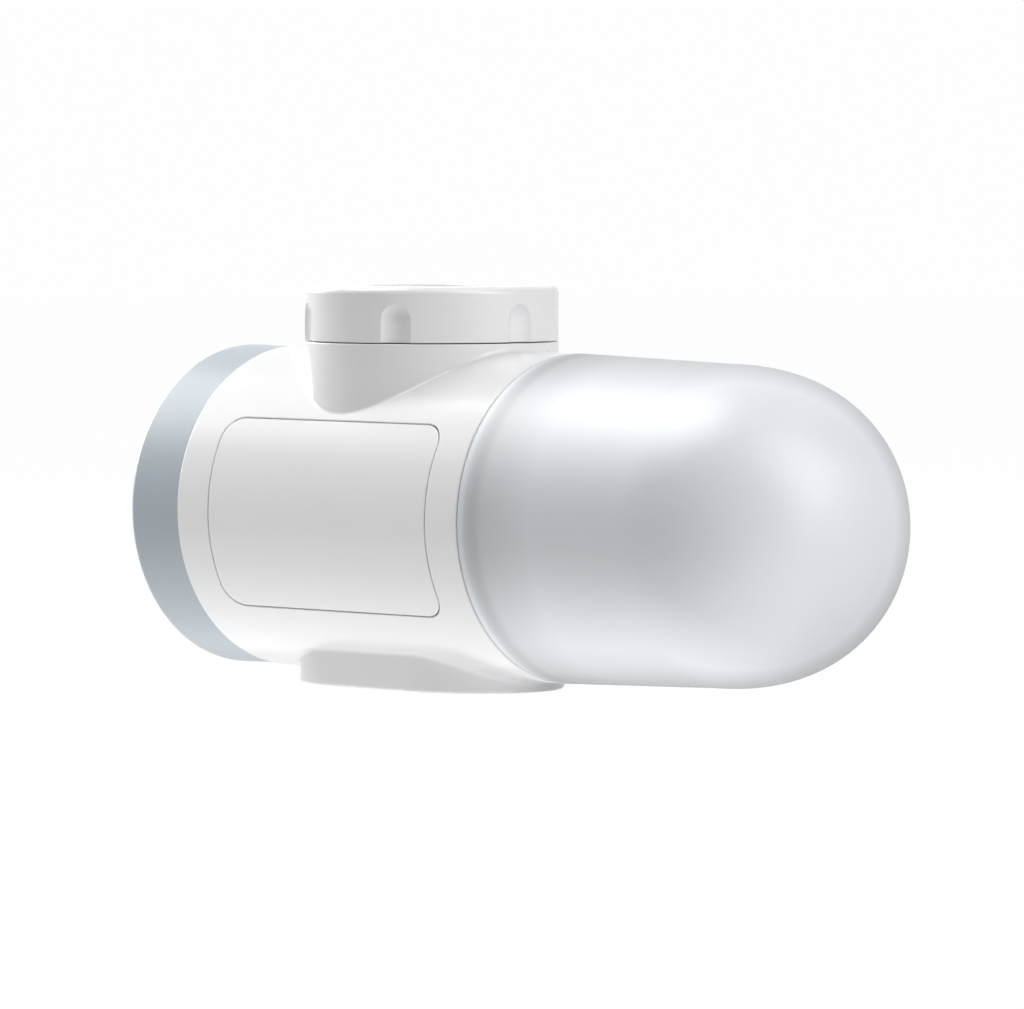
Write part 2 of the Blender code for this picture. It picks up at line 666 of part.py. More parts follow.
def valve_spool():
    """The turning plug of the valve, with its two seals."""
    seal_radius = SPOOL_RADIUS - SEAL_SECTION
    groove = seal_radius - SEAL_SECTION - GAP
    half_groove = SEAL_SECTION + GAP
    profile = [(-BODY_LEFT, 0), (-BODY_LEFT, SPOOL_NECK), (SLEEVE_LEFT, SPOOL_NECK)]
    profile.append((SLEEVE_LEFT, SPOOL_RADIUS))
    for station in SPOOL_SEAL_STATIONS:
        profile += [
            (station - half_groove, SPOOL_RADIUS),
            (station - half_groove, groove),
            (station + half_groove, groove),
            (station + half_groove, SPOOL_RADIUS),
        ]
    profile += [(SPOOL_RIGHT, SPOOL_RADIUS), (SPOOL_RIGHT, 0)]
    spool = add_object("valve_spool", revolved(profile, segments=MIDDLE_ROUND), ACETAL)
    half = SPOOL_DRIVE / 2
    fuse(spool, "spool_drive", block((DRIVE_LEFT, -half, -half), (-BODY_LEFT + half, half, half)))
    half = SPOOL_POCKET_WIDTH / 2
    pocket_floor = SPOOL_RADIUS - SPOOL_POCKET_DEPTH
    cut(spool, "filter_pocket",
        block((-PORT_RADIUS, -half, pocket_floor), (VALVE_END, half, VALVE_BORE)))
    reach = math.hypot(RAW_PORT_X, 2 * SPOOL_RADIUS) / 2 + SPOOL_CROSS_BORE
    cross = rod(-reach, reach, SPOOL_CROSS_BORE, "Z")
    lean = math.atan2(-RAW_PORT_X, 2 * SPOOL_RADIUS)
    bmesh.ops.transform(cross, matrix=Matrix.Rotation(lean, 4, "Y"), verts=cross.verts)
    bmesh.ops.translate(cross, vec=(RAW_PORT_X / 2, 0, 0), verts=cross.verts)
    cut(spool, "raw_cross_bore", turned(cross, -SELECTOR_TRAVEL))
    pilot_end = KNOB_BAR_TOP + KNOB_SCREW_RECESS + GAP + KNOB_SCREW_LENGTH
    cut(spool, "knob_screw_pilot",
        rod(KNOB_LEFT, pilot_end, KNOB_SCREW_RADIUS + GAP, segments=TINY_ROUND))
    for index, station in enumerate(SPOOL_SEAL_STATIONS):
        round_seal(f"spool_seal_{index + 1}", station, seal_radius, SEAL_SECTION)


def valve_cover():
    """The disc that closes the valve side, with the two stops for the knob."""
    bore = SPOOL_NECK + GAP
    cover = add_object(
        "valve_cover",
        tube(COVER_LEFT, COVER_RIGHT, bore, SHELL_BORE - GAP, segments=LARGE_ROUND),
        ACETAL,
    )
    for index, turn in enumerate(stop_angles()):
        stop = block((COVER_LEFT - STOP_HEIGHT, -STOP_HALF_WIDTH, STOP_RADIUS - STOP_DEPTH / 2),
                     (COVER_LEFT + GAP, STOP_HALF_WIDTH, STOP_RADIUS + STOP_DEPTH / 2))
        fuse(cover, f"cover_stop_{index + 1}", turned(stop, turn))
    for index in range(4):
        turn = math.tau * (index + 0.5) / 4
        hole = rod(-BODY_LEFT, SLEEVE_LEFT, SCREW_RADIUS + GAP, segments=TINY_ROUND,
                   centre=(0, 0, SCREW_CIRCLE))
        cut(cover, f"cover_hole_{index + 1}", turned(hole, turn))
        head = COVER_LEFT - GAP
        profile = [
            (head - SCREW_HEAD_HEIGHT, 0),
            (head - SCREW_HEAD_HEIGHT, SCREW_HEAD_RADIUS * 0.8),
            (head - SCREW_HEAD_HEIGHT * 0.6, SCREW_HEAD_RADIUS),
            (head, SCREW_HEAD_RADIUS),
            (head, SCREW_RADIUS),
            (SLEEVE_LEFT + SCREW_LENGTH - 2 * GAP, SCREW_RADIUS),
            (SLEEVE_LEFT + SCREW_LENGTH - GAP, 0),
        ]
        screw = revolved(profile, segments=2 * TINY_ROUND, centre=(0, 0, SCREW_CIRCLE))
        add_object(f"cover_screw_{index + 1}", turned(screw, turn), STEEL)


def stop_angles():
    """Angles of the cover's two stops, from the knob's lug at rest on the upper side."""
    lug = 2 * math.asin(STOP_HALF_WIDTH / (STOP_RADIUS - STOP_DEPTH / 2))
    lug += 2 * GAP / STOP_RADIUS
    return -lug, SELECTOR_TRAVEL + lug


def selector_knob():
    """The grey end knob, a cap with a dished face and a finger bar, and its screw and cap."""
    edge = KNOB_EDGE
    dish = BODY_RADIUS - KNOB_RIM
    skirt = BODY_RADIUS - KNOB_SKIRT
    lip = BODY_EDGE
    profile = [
        (KNOB_DISH_FLOOR, 0),
        (KNOB_DISH_FLOOR, dish - KNOB_RIM),
        (KNOB_LEFT + KNOB_RIM / 2, dish - lip),
        (KNOB_LEFT, dish),
        *arc(KNOB_LEFT + edge, BODY_RADIUS - edge, edge, 180, 90, 3),
        *arc(KNOB_RIGHT - lip, BODY_RADIUS - lip, lip, 90, 0, 2),
        (KNOB_RIGHT, skirt),
        (KNOB_WALL_INSIDE, skirt),
        (KNOB_WALL_INSIDE, KNOB_HUB),
        (KNOB_RIGHT, KNOB_HUB),
        (KNOB_RIGHT, 0),
    ]
    knob = add_object("selector_knob", revolved(profile), GREY)
    fuse(knob, "finger_bar", finger_bar())
    stop = block((KNOB_WALL_INSIDE - GAP, -STOP_HALF_WIDTH, STOP_RADIUS - STOP_DEPTH / 2),
                 (KNOB_RIGHT - GAP, STOP_HALF_WIDTH, STOP_RADIUS + STOP_DEPTH / 2))
    fuse(knob, "knob_stop_lug", stop)
    half = SPOOL_DRIVE / 2 + GAP
    cut(knob, "drive_socket",
        block((DRIVE_LEFT - GAP, -half, -half), (-BODY_LEFT, half, half)))
    seat = KNOB_BAR_TOP + KNOB_SCREW_RECESS
    head_bore = KNOB_SCREW_HEAD + GAP
    bore = [(KNOB_LEFT - KNOB_RIM, 0), (KNOB_LEFT - KNOB_RIM, head_bore), (seat, head_bore),
            (seat, KNOB_SCREW_RADIUS + GAP), (DRIVE_LEFT, KNOB_SCREW_RADIUS + GAP),
            (DRIVE_LEFT, 0)]
    cut(knob, "knob_screw_bore", revolved(bore, segments=SMALL_ROUND))
    cap_right = KNOB_BAR_TOP + KNOB_CAP_THICKNESS
    add_object("knob_screw_cap",
               rod(KNOB_BAR_TOP, cap_right, KNOB_SCREW_HEAD, segments=SMALL_ROUND), GREY)
    head = cap_right + GAP
    shank = seat - GAP
    screw = [(head, 0), (head, KNOB_SCREW_HEAD - GAP), (shank, KNOB_SCREW_HEAD - GAP),
             (shank, KNOB_SCREW_RADIUS), (shank + KNOB_SCREW_LENGTH, KNOB_SCREW_RADIUS),
             (shank + KNOB_SCREW_LENGTH + GAP, 0)]
    add_object("knob_screw", revolved(screw, segments=SMALL_ROUND), STEEL)


def finger_bar():
    """The bar across the knob's dish, narrower at its top than at its foot."""
    half = KNOB_BAR_WIDTH / 2
    reach = BODY_RADIUS - KNOB_RIM
    foot = KNOB_DISH_FLOOR + KNOB_FLOOR / 2
    crown = half - KNOB_BAR_DRAFT
    outline = [(foot, -half), (KNOB_BAR_TOP + KNOB_BAR_DRAFT, -crown), (KNOB_BAR_TOP, -crown / 2),
               (KNOB_BAR_TOP, crown / 2), (KNOB_BAR_TOP + KNOB_BAR_DRAFT, crown), (foot, half)]
    return prism([(x, y, -reach) for x, y in outline], (0, 0, 2 * reach))


def outlet_pieces():
    """The spray plate, the stream nozzle with its flow straightener, and their seals."""
    low = OUTLET_BOTTOM + OUTLET_RECESS
    profile = [
        (low, 0),
        (low, SPRAY_RADIUS),
        (low + SPRAY_DEPTH, SPRAY_RADIUS),
        (low + SPRAY_DEPTH, SPRAY_RADIUS - SPRAY_RIM),
        (low + SPRAY_THICKNESS, SPRAY_RADIUS - SPRAY_RIM),
        (low + SPRAY_THICKNESS, 0),
    ]
    plate = add_object(
        "spray_plate", revolved(profile, "Z", MIDDLE_ROUND, centre=(SPRAY_X, 0, 0)), GREY
    )
    cut(plate, "spray_holes",
        hole_pins(SPRAY_PITCH, SPRAY_RINGS, SPRAY_HOLE, low - GAP,
                  low + SPRAY_THICKNESS + GAP, SPRAY_X))
    spray_seal_radius = SPRAY_RADIUS - SEAL_SECTION
    spray_seal = (low + SPRAY_DEPTH + POCKET_TOP) / 2
    round_seal("spray_seal", spray_seal, spray_seal_radius, seal_between(low + SPRAY_DEPTH),
               "Z", (SPRAY_X, 0, 0))
    bore = STREAM_RADIUS - STREAM_WALL
    nozzle = [
        (low, bore - STREAM_LIP),
        (low, STREAM_RADIUS),
        (low + SPRAY_DEPTH, STREAM_RADIUS),
        (low + SPRAY_DEPTH, bore),
        (low + STREAM_LIP, bore),
        (low + STREAM_LIP, bore - STREAM_LIP),
    ]
    add_object("stream_nozzle",
               revolved(nozzle, "Z", MIDDLE_ROUND, closed=True, centre=(STREAM_X, 0, 0)), GREY)
    foot = low + STREAM_LIP + GAP
    top = min(foot + STRAIGHTENER_THICKNESS, low + SPRAY_DEPTH)
    straightener = add_object(
        "flow_straightener",
        rod(foot, top, bore - GAP, "Z", MIDDLE_ROUND, (STREAM_X, 0, 0)),
        ACETAL,
    )
    cut(straightener, "straightener_holes",
        hole_pins(STRAIGHTENER_PITCH, 1, STRAIGHTENER_HOLE, foot - GAP, top + GAP, STREAM_X))
    round_seal("stream_seal", spray_seal, STREAM_RADIUS - SEAL_SECTION,
               seal_between(low + SPRAY_DEPTH), "Z", (STREAM_X, 0, 0))


def seal_between(low):
    """The section of a seal that fills the room under a pocket's top, less its clearances."""
    return min(SEAL_SECTION, (POCKET_TOP - low) / 2 - GAP / 2)


def cup_radius(along):
    """Outer radius of the cup at a distance from its mouth."""
    if along <= CUP_TAPER_LENGTH:
        share = along / CUP_TAPER_LENGTH
        return CUP_MOUTH_RADIUS + (CUP_SHOULDER_RADIUS - CUP_MOUTH_RADIUS) * share
    reach = min(1.0, (along - CUP_TAPER_LENGTH) / CUP_DOME_LENGTH)
    return CUP_SHOULDER_RADIUS * (1 - reach**CUP_DOME_POWER) ** (1 / CUP_DOME_POWER)


def dome_points(inset, steps):
    """Profile points of the dome, drawn in by a wall, from its foot to its tip."""
    points = []
    for step in range(steps + 1):
        turn = math.radians(90 * step / steps)
        power = 2 / CUP_DOME_POWER
        along = (CUP_DOME_LENGTH - inset) * math.sin(turn) ** power
        radius = (CUP_SHOULDER_RADIUS - inset) * max(0.0, math.cos(turn)) ** power
        points.append((CUP_DOME_START + along, radius if step < steps else 0.0))
    return points


def filter_cup():
    """The frosted cup: a slightly tapered wall, a full dome and a rebated mouth."""
    thread_end = CUP_MOUTH + CUP_THREAD_LENGTH
    inner_start = thread_end + (CUP_BORE - cup_radius(CUP_THREAD_LENGTH) + CUP_WALL)
    edge = BODY_EDGE / 2
    outer = [
        (CUP_MOUTH, CUP_MOUTH_RADIUS - edge),
        (CUP_MOUTH + edge, CUP_MOUTH_RADIUS),
        *dome_points(0.0, DOME_STEPS),
    ]
    inner = [
        *reversed(dome_points(CUP_WALL, DOME_STEPS - 1)),
        (max(inner_start, thread_end + GAP), cup_radius(CUP_THREAD_LENGTH) - CUP_WALL),
        (thread_end, CUP_BORE),
        (CUP_REBATE_END, CUP_BORE),
        (CUP_REBATE_END, CUP_REBATE_RADIUS),
        (CUP_MOUTH, CUP_REBATE_RADIUS),
    ]
    bm = revolved(outer + inner, closed=False)
    rims = [edge for edge in bm.edges if edge.is_boundary]
    bmesh.ops.bridge_loops(bm, edges=rims)
    add_object("filter_cup", bm, FROSTED)
    station = CUP_MOUTH + GAP + CUP_SEAL_SECTION
    round_seal("cup_seal", station, CUP_REBATE_RADIUS - GAP - CUP_SEAL_SECTION, CUP_SEAL_SECTION)


def cartridge():
    """The replaceable cartridge: two end caps, a perforated core, carbon and a fleece wrap."""
    spigot = SOCKET_BORE - GAP
    left = CARTRIDGE_LEFT - CARTRIDGE_SPIGOT_LENGTH
    seal = (left + CARTRIDGE_LEFT) / 2
    seal_radius = spigot - SEAL_SECTION
    groove = seal_radius - SEAL_SECTION - GAP
    half_groove = SEAL_SECTION + GAP
    cap_right = CARTRIDGE_LEFT + CARTRIDGE_CAP
    skirt_bore = CARTRIDGE_RADIUS - CARTRIDGE_SKIRT_WALL
    head = [
        (left, CARTRIDGE_SPIGOT_BORE),
        (left, spigot - GAP),
        (left + GAP, spigot),
        (seal - half_groove, spigot),
        (seal - half_groove, groove),
        (seal + half_groove, groove),
        (seal + half_groove, spigot),
        (CARTRIDGE_LEFT, spigot),
        (CARTRIDGE_LEFT, CARTRIDGE_RADIUS - BODY_EDGE),
        (CARTRIDGE_LEFT + BODY_EDGE, CARTRIDGE_RADIUS),
        (cap_right + CARTRIDGE_SKIRT, CARTRIDGE_RADIUS),
        (cap_right + CARTRIDGE_SKIRT, skirt_bore),
        (cap_right, skirt_bore),
        (cap_right, CARTRIDGE_SPIGOT_BORE),
    ]
    add_object("cartridge_head", revolved(head, segments=MIDDLE_ROUND, closed=True),
               CARTRIDGE_PLASTIC)
    round_seal("cartridge_seal", seal, seal_radius, SEAL_SECTION)
    foot_left = MEDIA_RIGHT + GAP
    foot_right = foot_left + CARTRIDGE_CAP
    foot = [
        (foot_left, 0),
        (foot_left, skirt_bore),
        (foot_left - CARTRIDGE_SKIRT, skirt_bore),
        (foot_left - CARTRIDGE_SKIRT, CARTRIDGE_RADIUS),
        (foot_right - BODY_EDGE, CARTRIDGE_RADIUS),
        (foot_right, CARTRIDGE_RADIUS - BODY_EDGE),
        (foot_right, BUMPER_RADIUS),
        (foot_right + BUMPER_HEIGHT, BUMPER_RADIUS - BODY_EDGE),
        (foot_right + BUMPER_HEIGHT, 0),
    ]
    add_object("cartridge_foot", revolved(foot, segments=MIDDLE_ROUND), CARTRIDGE_PLASTIC)
    add_object("fleece_wrap", tube(MEDIA_LEFT, MEDIA_RIGHT, MEDIA_RADIUS + GAP, FLEECE_RADIUS),
               FLEECE)
    add_object("carbon_block", tube(MEDIA_LEFT, MEDIA_RIGHT, CORE_RADIUS + GAP, MEDIA_RADIUS),
               CARBON)
    core = add_object(
        "core_tube",
        tube(MEDIA_LEFT, MEDIA_RIGHT, CORE_RADIUS - CORE_WALL, CORE_RADIUS,
             segments=SMALL_ROUND),
        CARTRIDGE_PLASTIC,
    )
    cut(core, "core_holes", core_hole_pins())


def core_hole_pins():
    """Radial pins for the core's holes, each from inside its bore outwards, in one mesh."""
    bm = bmesh.new()
    inside = CORE_RADIUS - 2 * CORE_WALL
    depth = CORE_RADIUS + GAP - inside
    pitch = CARTRIDGE_LENGTH / CORE_HOLE_ROWS
    for row in range(CORE_HOLE_ROWS):
        x = MEDIA_LEFT + pitch * (row + 0.5)
        for index in range(CORE_HOLES_ROUND):
            turn = math.tau * (index + 0.5 * (row % 2)) / CORE_HOLES_ROUND
            place = Matrix.Translation((x, 0, 0)) @ Matrix.Rotation(turn, 4, "X")
            place = place @ Matrix.Translation((0, 0, inside + depth / 2))
            bmesh.ops.create_cone(bm, cap_ends=True, segments=6, radius1=CORE_HOLE,
                                  radius2=CORE_HOLE, depth=depth, matrix=place)
    return bm


def build():
    clear_scene()
    crossing = bpy.data.objects.new("axis_crossing", None)
    bpy.context.scene.collection.objects.link(crossing)
    crossing.location = (0, 0, AXIS_HEIGHT)
    main_housing()
    front_panel()
    collar_nut()
    inlet_pieces()
    port_seals()
    valve_spool()
    valve_cover()
    selector_knob()
    outlet_pieces()
    filter_cup()
    cartridge()


build()
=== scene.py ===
"""Dresses the faucet mount water filter: fine skins, threads, meshes and moulded finishes.

Sizes in the classes are millimetres, measured from the point where the barrel's axis crosses
the inlet's axis. Shell.finish turns them into metres in the frame's own place.
"""

import json
import logging
import math
from abc import ABC, abstractmethod
from dataclasses import dataclass
from enum import Enum
from functools import partial
from typing import Callable, Sequence

import bmesh
import bpy
import numpy as np
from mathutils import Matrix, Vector
from mathutils.geometry import delaunay_2d_cdt

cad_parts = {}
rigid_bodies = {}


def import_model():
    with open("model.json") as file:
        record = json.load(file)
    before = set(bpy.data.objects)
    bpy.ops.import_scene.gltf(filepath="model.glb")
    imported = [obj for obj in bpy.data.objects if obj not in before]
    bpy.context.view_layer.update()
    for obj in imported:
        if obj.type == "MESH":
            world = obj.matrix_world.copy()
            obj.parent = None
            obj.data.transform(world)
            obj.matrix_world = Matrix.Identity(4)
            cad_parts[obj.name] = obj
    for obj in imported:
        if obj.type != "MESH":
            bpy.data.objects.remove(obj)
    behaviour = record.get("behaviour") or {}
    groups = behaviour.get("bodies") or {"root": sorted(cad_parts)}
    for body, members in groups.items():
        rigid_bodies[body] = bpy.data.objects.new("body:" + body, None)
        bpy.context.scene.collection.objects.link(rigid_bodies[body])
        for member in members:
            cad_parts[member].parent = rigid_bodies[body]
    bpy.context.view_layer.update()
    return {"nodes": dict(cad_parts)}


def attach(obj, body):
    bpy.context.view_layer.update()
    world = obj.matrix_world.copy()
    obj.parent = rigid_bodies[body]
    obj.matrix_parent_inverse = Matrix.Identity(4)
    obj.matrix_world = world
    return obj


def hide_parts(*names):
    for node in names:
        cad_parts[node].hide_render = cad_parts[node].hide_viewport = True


LOG = logging.getLogger("water_filter")
METRES = 0.001
AXIS_HEIGHT = 31.0
BARREL_RADIUS = 29.0
BARREL_COLUMNS = 180
ROUND_COLUMNS = 96
WELD = 1e-4

Tree, Socket = bpy.types.NodeTree, bpy.types.NodeSocket
Piece, Skin = bpy.types.Object, bpy.types.Material
Node, Array = bpy.types.Node, np.ndarray
Feed = Node | Socket
Corner, Span, Triple = tuple[float, ...], tuple[float, float], tuple[float, float, float]
Pair = tuple[Array, Array]
RadiusLaw = Callable[[Array, Array], Array]


def together(*parts: Array | float) -> Array:
    """Puts coordinates side by side along the last axis, each spread to the same shape."""
    return np.stack(np.broadcast_arrays(*parts), axis=-1)


class Axis(Enum):
    """The axis that a section is turned about."""

    BARREL = "barrel"
    INLET = "inlet"

    def spin(self, pairs: Array, turn: Array, shift: float = 0.0) -> Array:
        """Turns pairs about the axis.

        Args:
            pairs: Rows of (along, out).
            turn: Angles round the axis.
            shift: Where an inlet-wise axis stands along the barrel.

        Returns:
            Pairs by angles by three.
        """
        along, out = pairs[:, :1], pairs[:, 1:]
        cosine, sine = np.cos(turn)[None], np.sin(turn)[None]
        if self is Axis.BARREL:
            return together(along, out * sine, out * cosine)
        return together(shift + out * cosine, out * sine, along)


def add_object(name: str, data: bpy.types.ID) -> Piece:
    """Puts a new object into the scene.

    Args:
        name: Its name.
        data: Its mesh, light or camera.

    Returns:
        The object.
    """
    made = bpy.data.objects.new(name, data)
    bpy.context.scene.collection.objects.link(made)
    return made


# Shapes in numbers


@dataclass(frozen=True)
class Run:
    """A smooth stretch of a section: its points and the outward direction at each."""

    points: Array
    normals: Array


def unit(vectors: Array) -> Array:
    """The same directions at length one."""
    length = np.linalg.norm(vectors, axis=-1, keepdims=True)
    return vectors / np.maximum(length, 1e-12)


def section(corners: Sequence[Corner], side: int = 1, closed: bool = False,
            steps: int = 6) -> list[Run]:
    """Splits a section with rounded corners into smooth stretches.

    Args:
        corners: Points as (along, out) or (along, out, rounding radius).
        side: 1 where the outside is left of the direction of travel, -1 where it is right.
        closed: Whether the last corner joins the first.
        steps: Steps in each rounding.

    Returns:
        The straight and round stretches in order.
    """
    points = [np.array(corner[:2], float) for corner in corners]
    radii = [corner[2] if len(corner) > 2 else 0.0 for corner in corners]
    count = len(points)
    starts, ends = list(points), list(points)
    rounds: list[Run | None] = [None] * count
    for index in range(count):
        inner = closed or 0 < index < count - 1
        if radii[index] <= 0 or not inner:
            continue
        before = unit(points[index] - points[index - 1])
        after = unit(points[(index + 1) % count] - points[index])
        turn = math.atan2(before[0] * after[1] - before[1] * after[0], float(before @ after))
        reach = radii[index] * abs(math.tan(turn / 2))
        starts[index] = points[index] - before * reach
        ends[index] = points[index] + after * reach
        left = np.array([-before[1], before[0]])
        centre = starts[index] + left * radii[index] * np.sign(turn)
        angles = np.linspace(0.0, turn, steps + 1)
        cosine, sine = np.cos(angles)[:, None], np.sin(angles)[:, None]
        arm = starts[index] - centre
        arm_points = centre + cosine * arm + sine * np.array([-arm[1], arm[0]])
        out = left * side
        out_normals = cosine * out + sine * np.array([-out[1], out[0]])
        rounds[index] = Run(arm_points, out_normals)
    runs: list[Run] = []
    for index in range(count if closed else count - 1):
        if rounds[index] is not None:
            runs.append(rounds[index])
        first, last = ends[index], starts[(index + 1) % count]
        way = last - first
        if np.hypot(*way) > 1e-5:
            out = unit(np.array([-way[1], way[0]])) * side
            runs.append(Run(np.array([first, last]), np.array([out, out])))
    return runs


def lipped(edge: float, depth: float, side: int = 1) -> list[Run]:
    """A wall that goes down from a rounded edge.

    Args:
        edge: Radius of the edge.
        depth: How far the wall goes down.
        side: 1 where the face about it lies outwards, as round a hole, -1 where inwards.

    Returns:
        The edge's round and the wall.
    """
    return section([(edge * 3 * side, 0.0), (0.0, 0.0, edge), (0.0, -depth)])[1:]


def curve_run(points: Array, side: int = 1) -> Run:
    """A smooth stretch through points, with its outward directions from its slope.

    Args:
        points: Rows of (along, out).
        side: 1 where the outside is left of the direction of travel, -1 where it is right.

    Returns:
        The stretch.
    """
    slope = np.gradient(points, axis=0)
    out = unit(together(-slope[:, 1], slope[:, 0])) * side
    return Run(points, out)


def around(count: int) -> Array:
    """Angles evenly round a circle."""
    return math.tau * np.arange(count) / count


def bearing(turn: Array) -> Array:
    """Flat directions at angles."""
    return together(np.cos(turn), np.sin(turn))


BARREL_TURN = around(BARREL_COLUMNS)
ROUND_TURN = around(ROUND_COLUMNS)


def circle(radius: float, centre: Span = (0.0, 0.0), count: int = ROUND_COLUMNS) -> Pair:
    """Points round a circle and their outward directions."""
    out = bearing(around(count))
    return np.array(centre) + radius * out, out


def rounded_loop(corners: Sequence[Span], radius: float, corner_steps: int,
                 side_step: float) -> Pair:
    """A closed outline with straight sides and round corners, run anticlockwise.

    Args:
        corners: The corners before rounding, anticlockwise.
        radius: Radius of every corner.
        corner_steps: Steps in each corner.
        side_step: Longest step along a straight side.

    Returns:
        The points and their outward directions.
    """
    places, outs = [], []
    for run in section([(*corner, radius) for corner in corners], -1, True, corner_steps):
        length = float(np.hypot(*(run.points[-1] - run.points[0])))
        pieces = max(1, round(length / side_step)) if len(run.points) == 2 else 0
        if pieces:
            share = np.linspace(0.0, 1.0, pieces + 1)[:-1, None]
            places.append(run.points[0] * (1 - share) + run.points[1] * share)
            outs.append(np.repeat(run.normals[:1], pieces, axis=0))
        else:
            places.append(run.points[:-1])
            outs.append(run.normals[:-1])
    return np.concatenate(places), np.concatenate(outs)


def inside_loops(places: Array, loops: Sequence[Array]) -> Array:
    """Whether each place lies inside an odd number of the loops.

    Args:
        places: The places.
        loops: Closed outlines.

    Returns:
        True where it does.
    """
    result = np.zeros(len(places), bool)
    for loop in loops:
        start, end = loop, np.roll(loop, -1, axis=0)
        for (x0, y0), (x1, y1) in zip(start, end):
            if y0 == y1:
                continue
            crosses = (y0 > places[:, 1]) != (y1 > places[:, 1])
            at = x0 + (places[:, 1] - y0) * (x1 - x0) / (y1 - y0)
            result ^= crosses & (places[:, 0] < at)
    return result


def gap_to(places: Array, loop: Array) -> Array:
    """Distance from each place to the nearest side of a loop.

    Args:
        places: The places.
        loop: A closed outline.

    Returns:
        The distances.
    """
    way = np.roll(loop, -1, axis=0) - loop
    apart = places[:, None] - loop[None]
    share = np.einsum("ijk,jk->ij", apart, way) / np.einsum("jk,jk->j", way, way)
    nearest = apart - np.clip(share, 0.0, 1.0)[..., None] * way[None]
    return np.linalg.norm(nearest, axis=2).min(axis=1)


def filled(loops: Sequence[Array], extra: Array | None = None) -> Pair:
    """Triangles that fill the region between an outline and the holes in it.

    Args:
        loops: The outline and the holes.
        extra: More points inside the region, for a surface that curves.

    Returns:
        The points and the triangles.
    """
    places = [*loops] + ([extra] if extra is not None and len(extra) else [])
    edges, offset = [], 0
    for loop in loops:
        count = len(loop)
        edges += [(offset + k, offset + (k + 1) % count) for k in range(count)]
        offset += count
    flat = np.concatenate(places)
    result = delaunay_2d_cdt([Vector(p) for p in flat], edges, [], 0, 1e-6)
    points = np.array([flat[source[0]] if source else tuple(p)
                       for p, source in zip(result[0], result[3])])
    triangles = np.array([face for face in result[2] if len(face) == 3])
    centres = points[triangles].mean(axis=1)
    return points, triangles[inside_loops(centres, loops)]


class Place(ABC):
    """Where a flat drawing of (across, up, height) lies on the object."""

    @abstractmethod
    def at(self, across: Array, up: Array, height: Array) -> Array:
        """Points in space."""

    @abstractmethod
    def facing(self, across: Array, up: Array, out: Array, where: Array) -> Array:
        """Directions in space at places that far up the drawing."""


@dataclass(frozen=True)
class Level(Place):
    """A flat drawing on a plane, which looks down unless told otherwise."""

    origin: Triple
    across_axis: Triple = (1.0, 0.0, 0.0)
    up_axis: Triple = (0.0, 1.0, 0.0)
    height_axis: Triple = (0.0, 0.0, -1.0)

    def at(self, across: Array, up: Array, height: Array) -> Array:
        """Points in space."""
        return np.array(self.origin) + self.facing(across, up, height, up)

    def facing(self, across: Array, up: Array, out: Array, where: Array) -> Array:
        """Directions in space; a plane turns them all the same way."""
        axes = np.array([self.across_axis, self.up_axis, self.height_axis], float)
        return together(across, up, out) @ axes


@dataclass(frozen=True)
class Rolled(Place):
    """A flat drawing rolled round the barrel: along it, then round from the top."""

    radius: float = BARREL_RADIUS

    def at(self, across: Array, up: Array, height: Array) -> Array:
        """Points in space."""
        turn, out = up / self.radius, self.radius + height
        return together(across, out * np.sin(turn), out * np.cos(turn))

    def facing(self, across: Array, up: Array, out: Array, where: Array) -> Array:
        """Directions in space at places that far round the barrel."""
        cosine, sine = np.cos(where / self.radius), np.sin(where / self.radius)
        return together(across, up * cosine + out * sine, out * cosine - up * sine)


def turn_outwards(mesh: bpy.types.Mesh) -> None:
    """Turns a closed mesh's faces outwards and gives its corners their exact directions.

    Args:
        mesh: Its corner attribute "facing" holds the directions, of either sign.
    """
    shape = bmesh.new()
    shape.from_mesh(mesh)
    bmesh.ops.recalc_face_normals(shape, faces=shape.faces)
    shape.to_mesh(mesh)
    shape.free()
    corners = np.empty(len(mesh.loops) * 3, np.float32)
    mesh.attributes["facing"].data.foreach_get("vector", corners)
    corners = corners.reshape(-1, 3)
    flat = np.empty(len(mesh.polygons) * 3, np.float32)
    mesh.polygons.foreach_get("normal", flat)
    totals = np.empty(len(mesh.polygons), np.int32)
    mesh.polygons.foreach_get("loop_total", totals)
    outwards = np.repeat(flat.reshape(-1, 3), totals, axis=0)
    corners[np.einsum("ij,ij->i", corners, outwards) < 0] *= -1
    mesh.attributes.remove(mesh.attributes["facing"])
    mesh.normals_split_custom_set(corners.tolist())


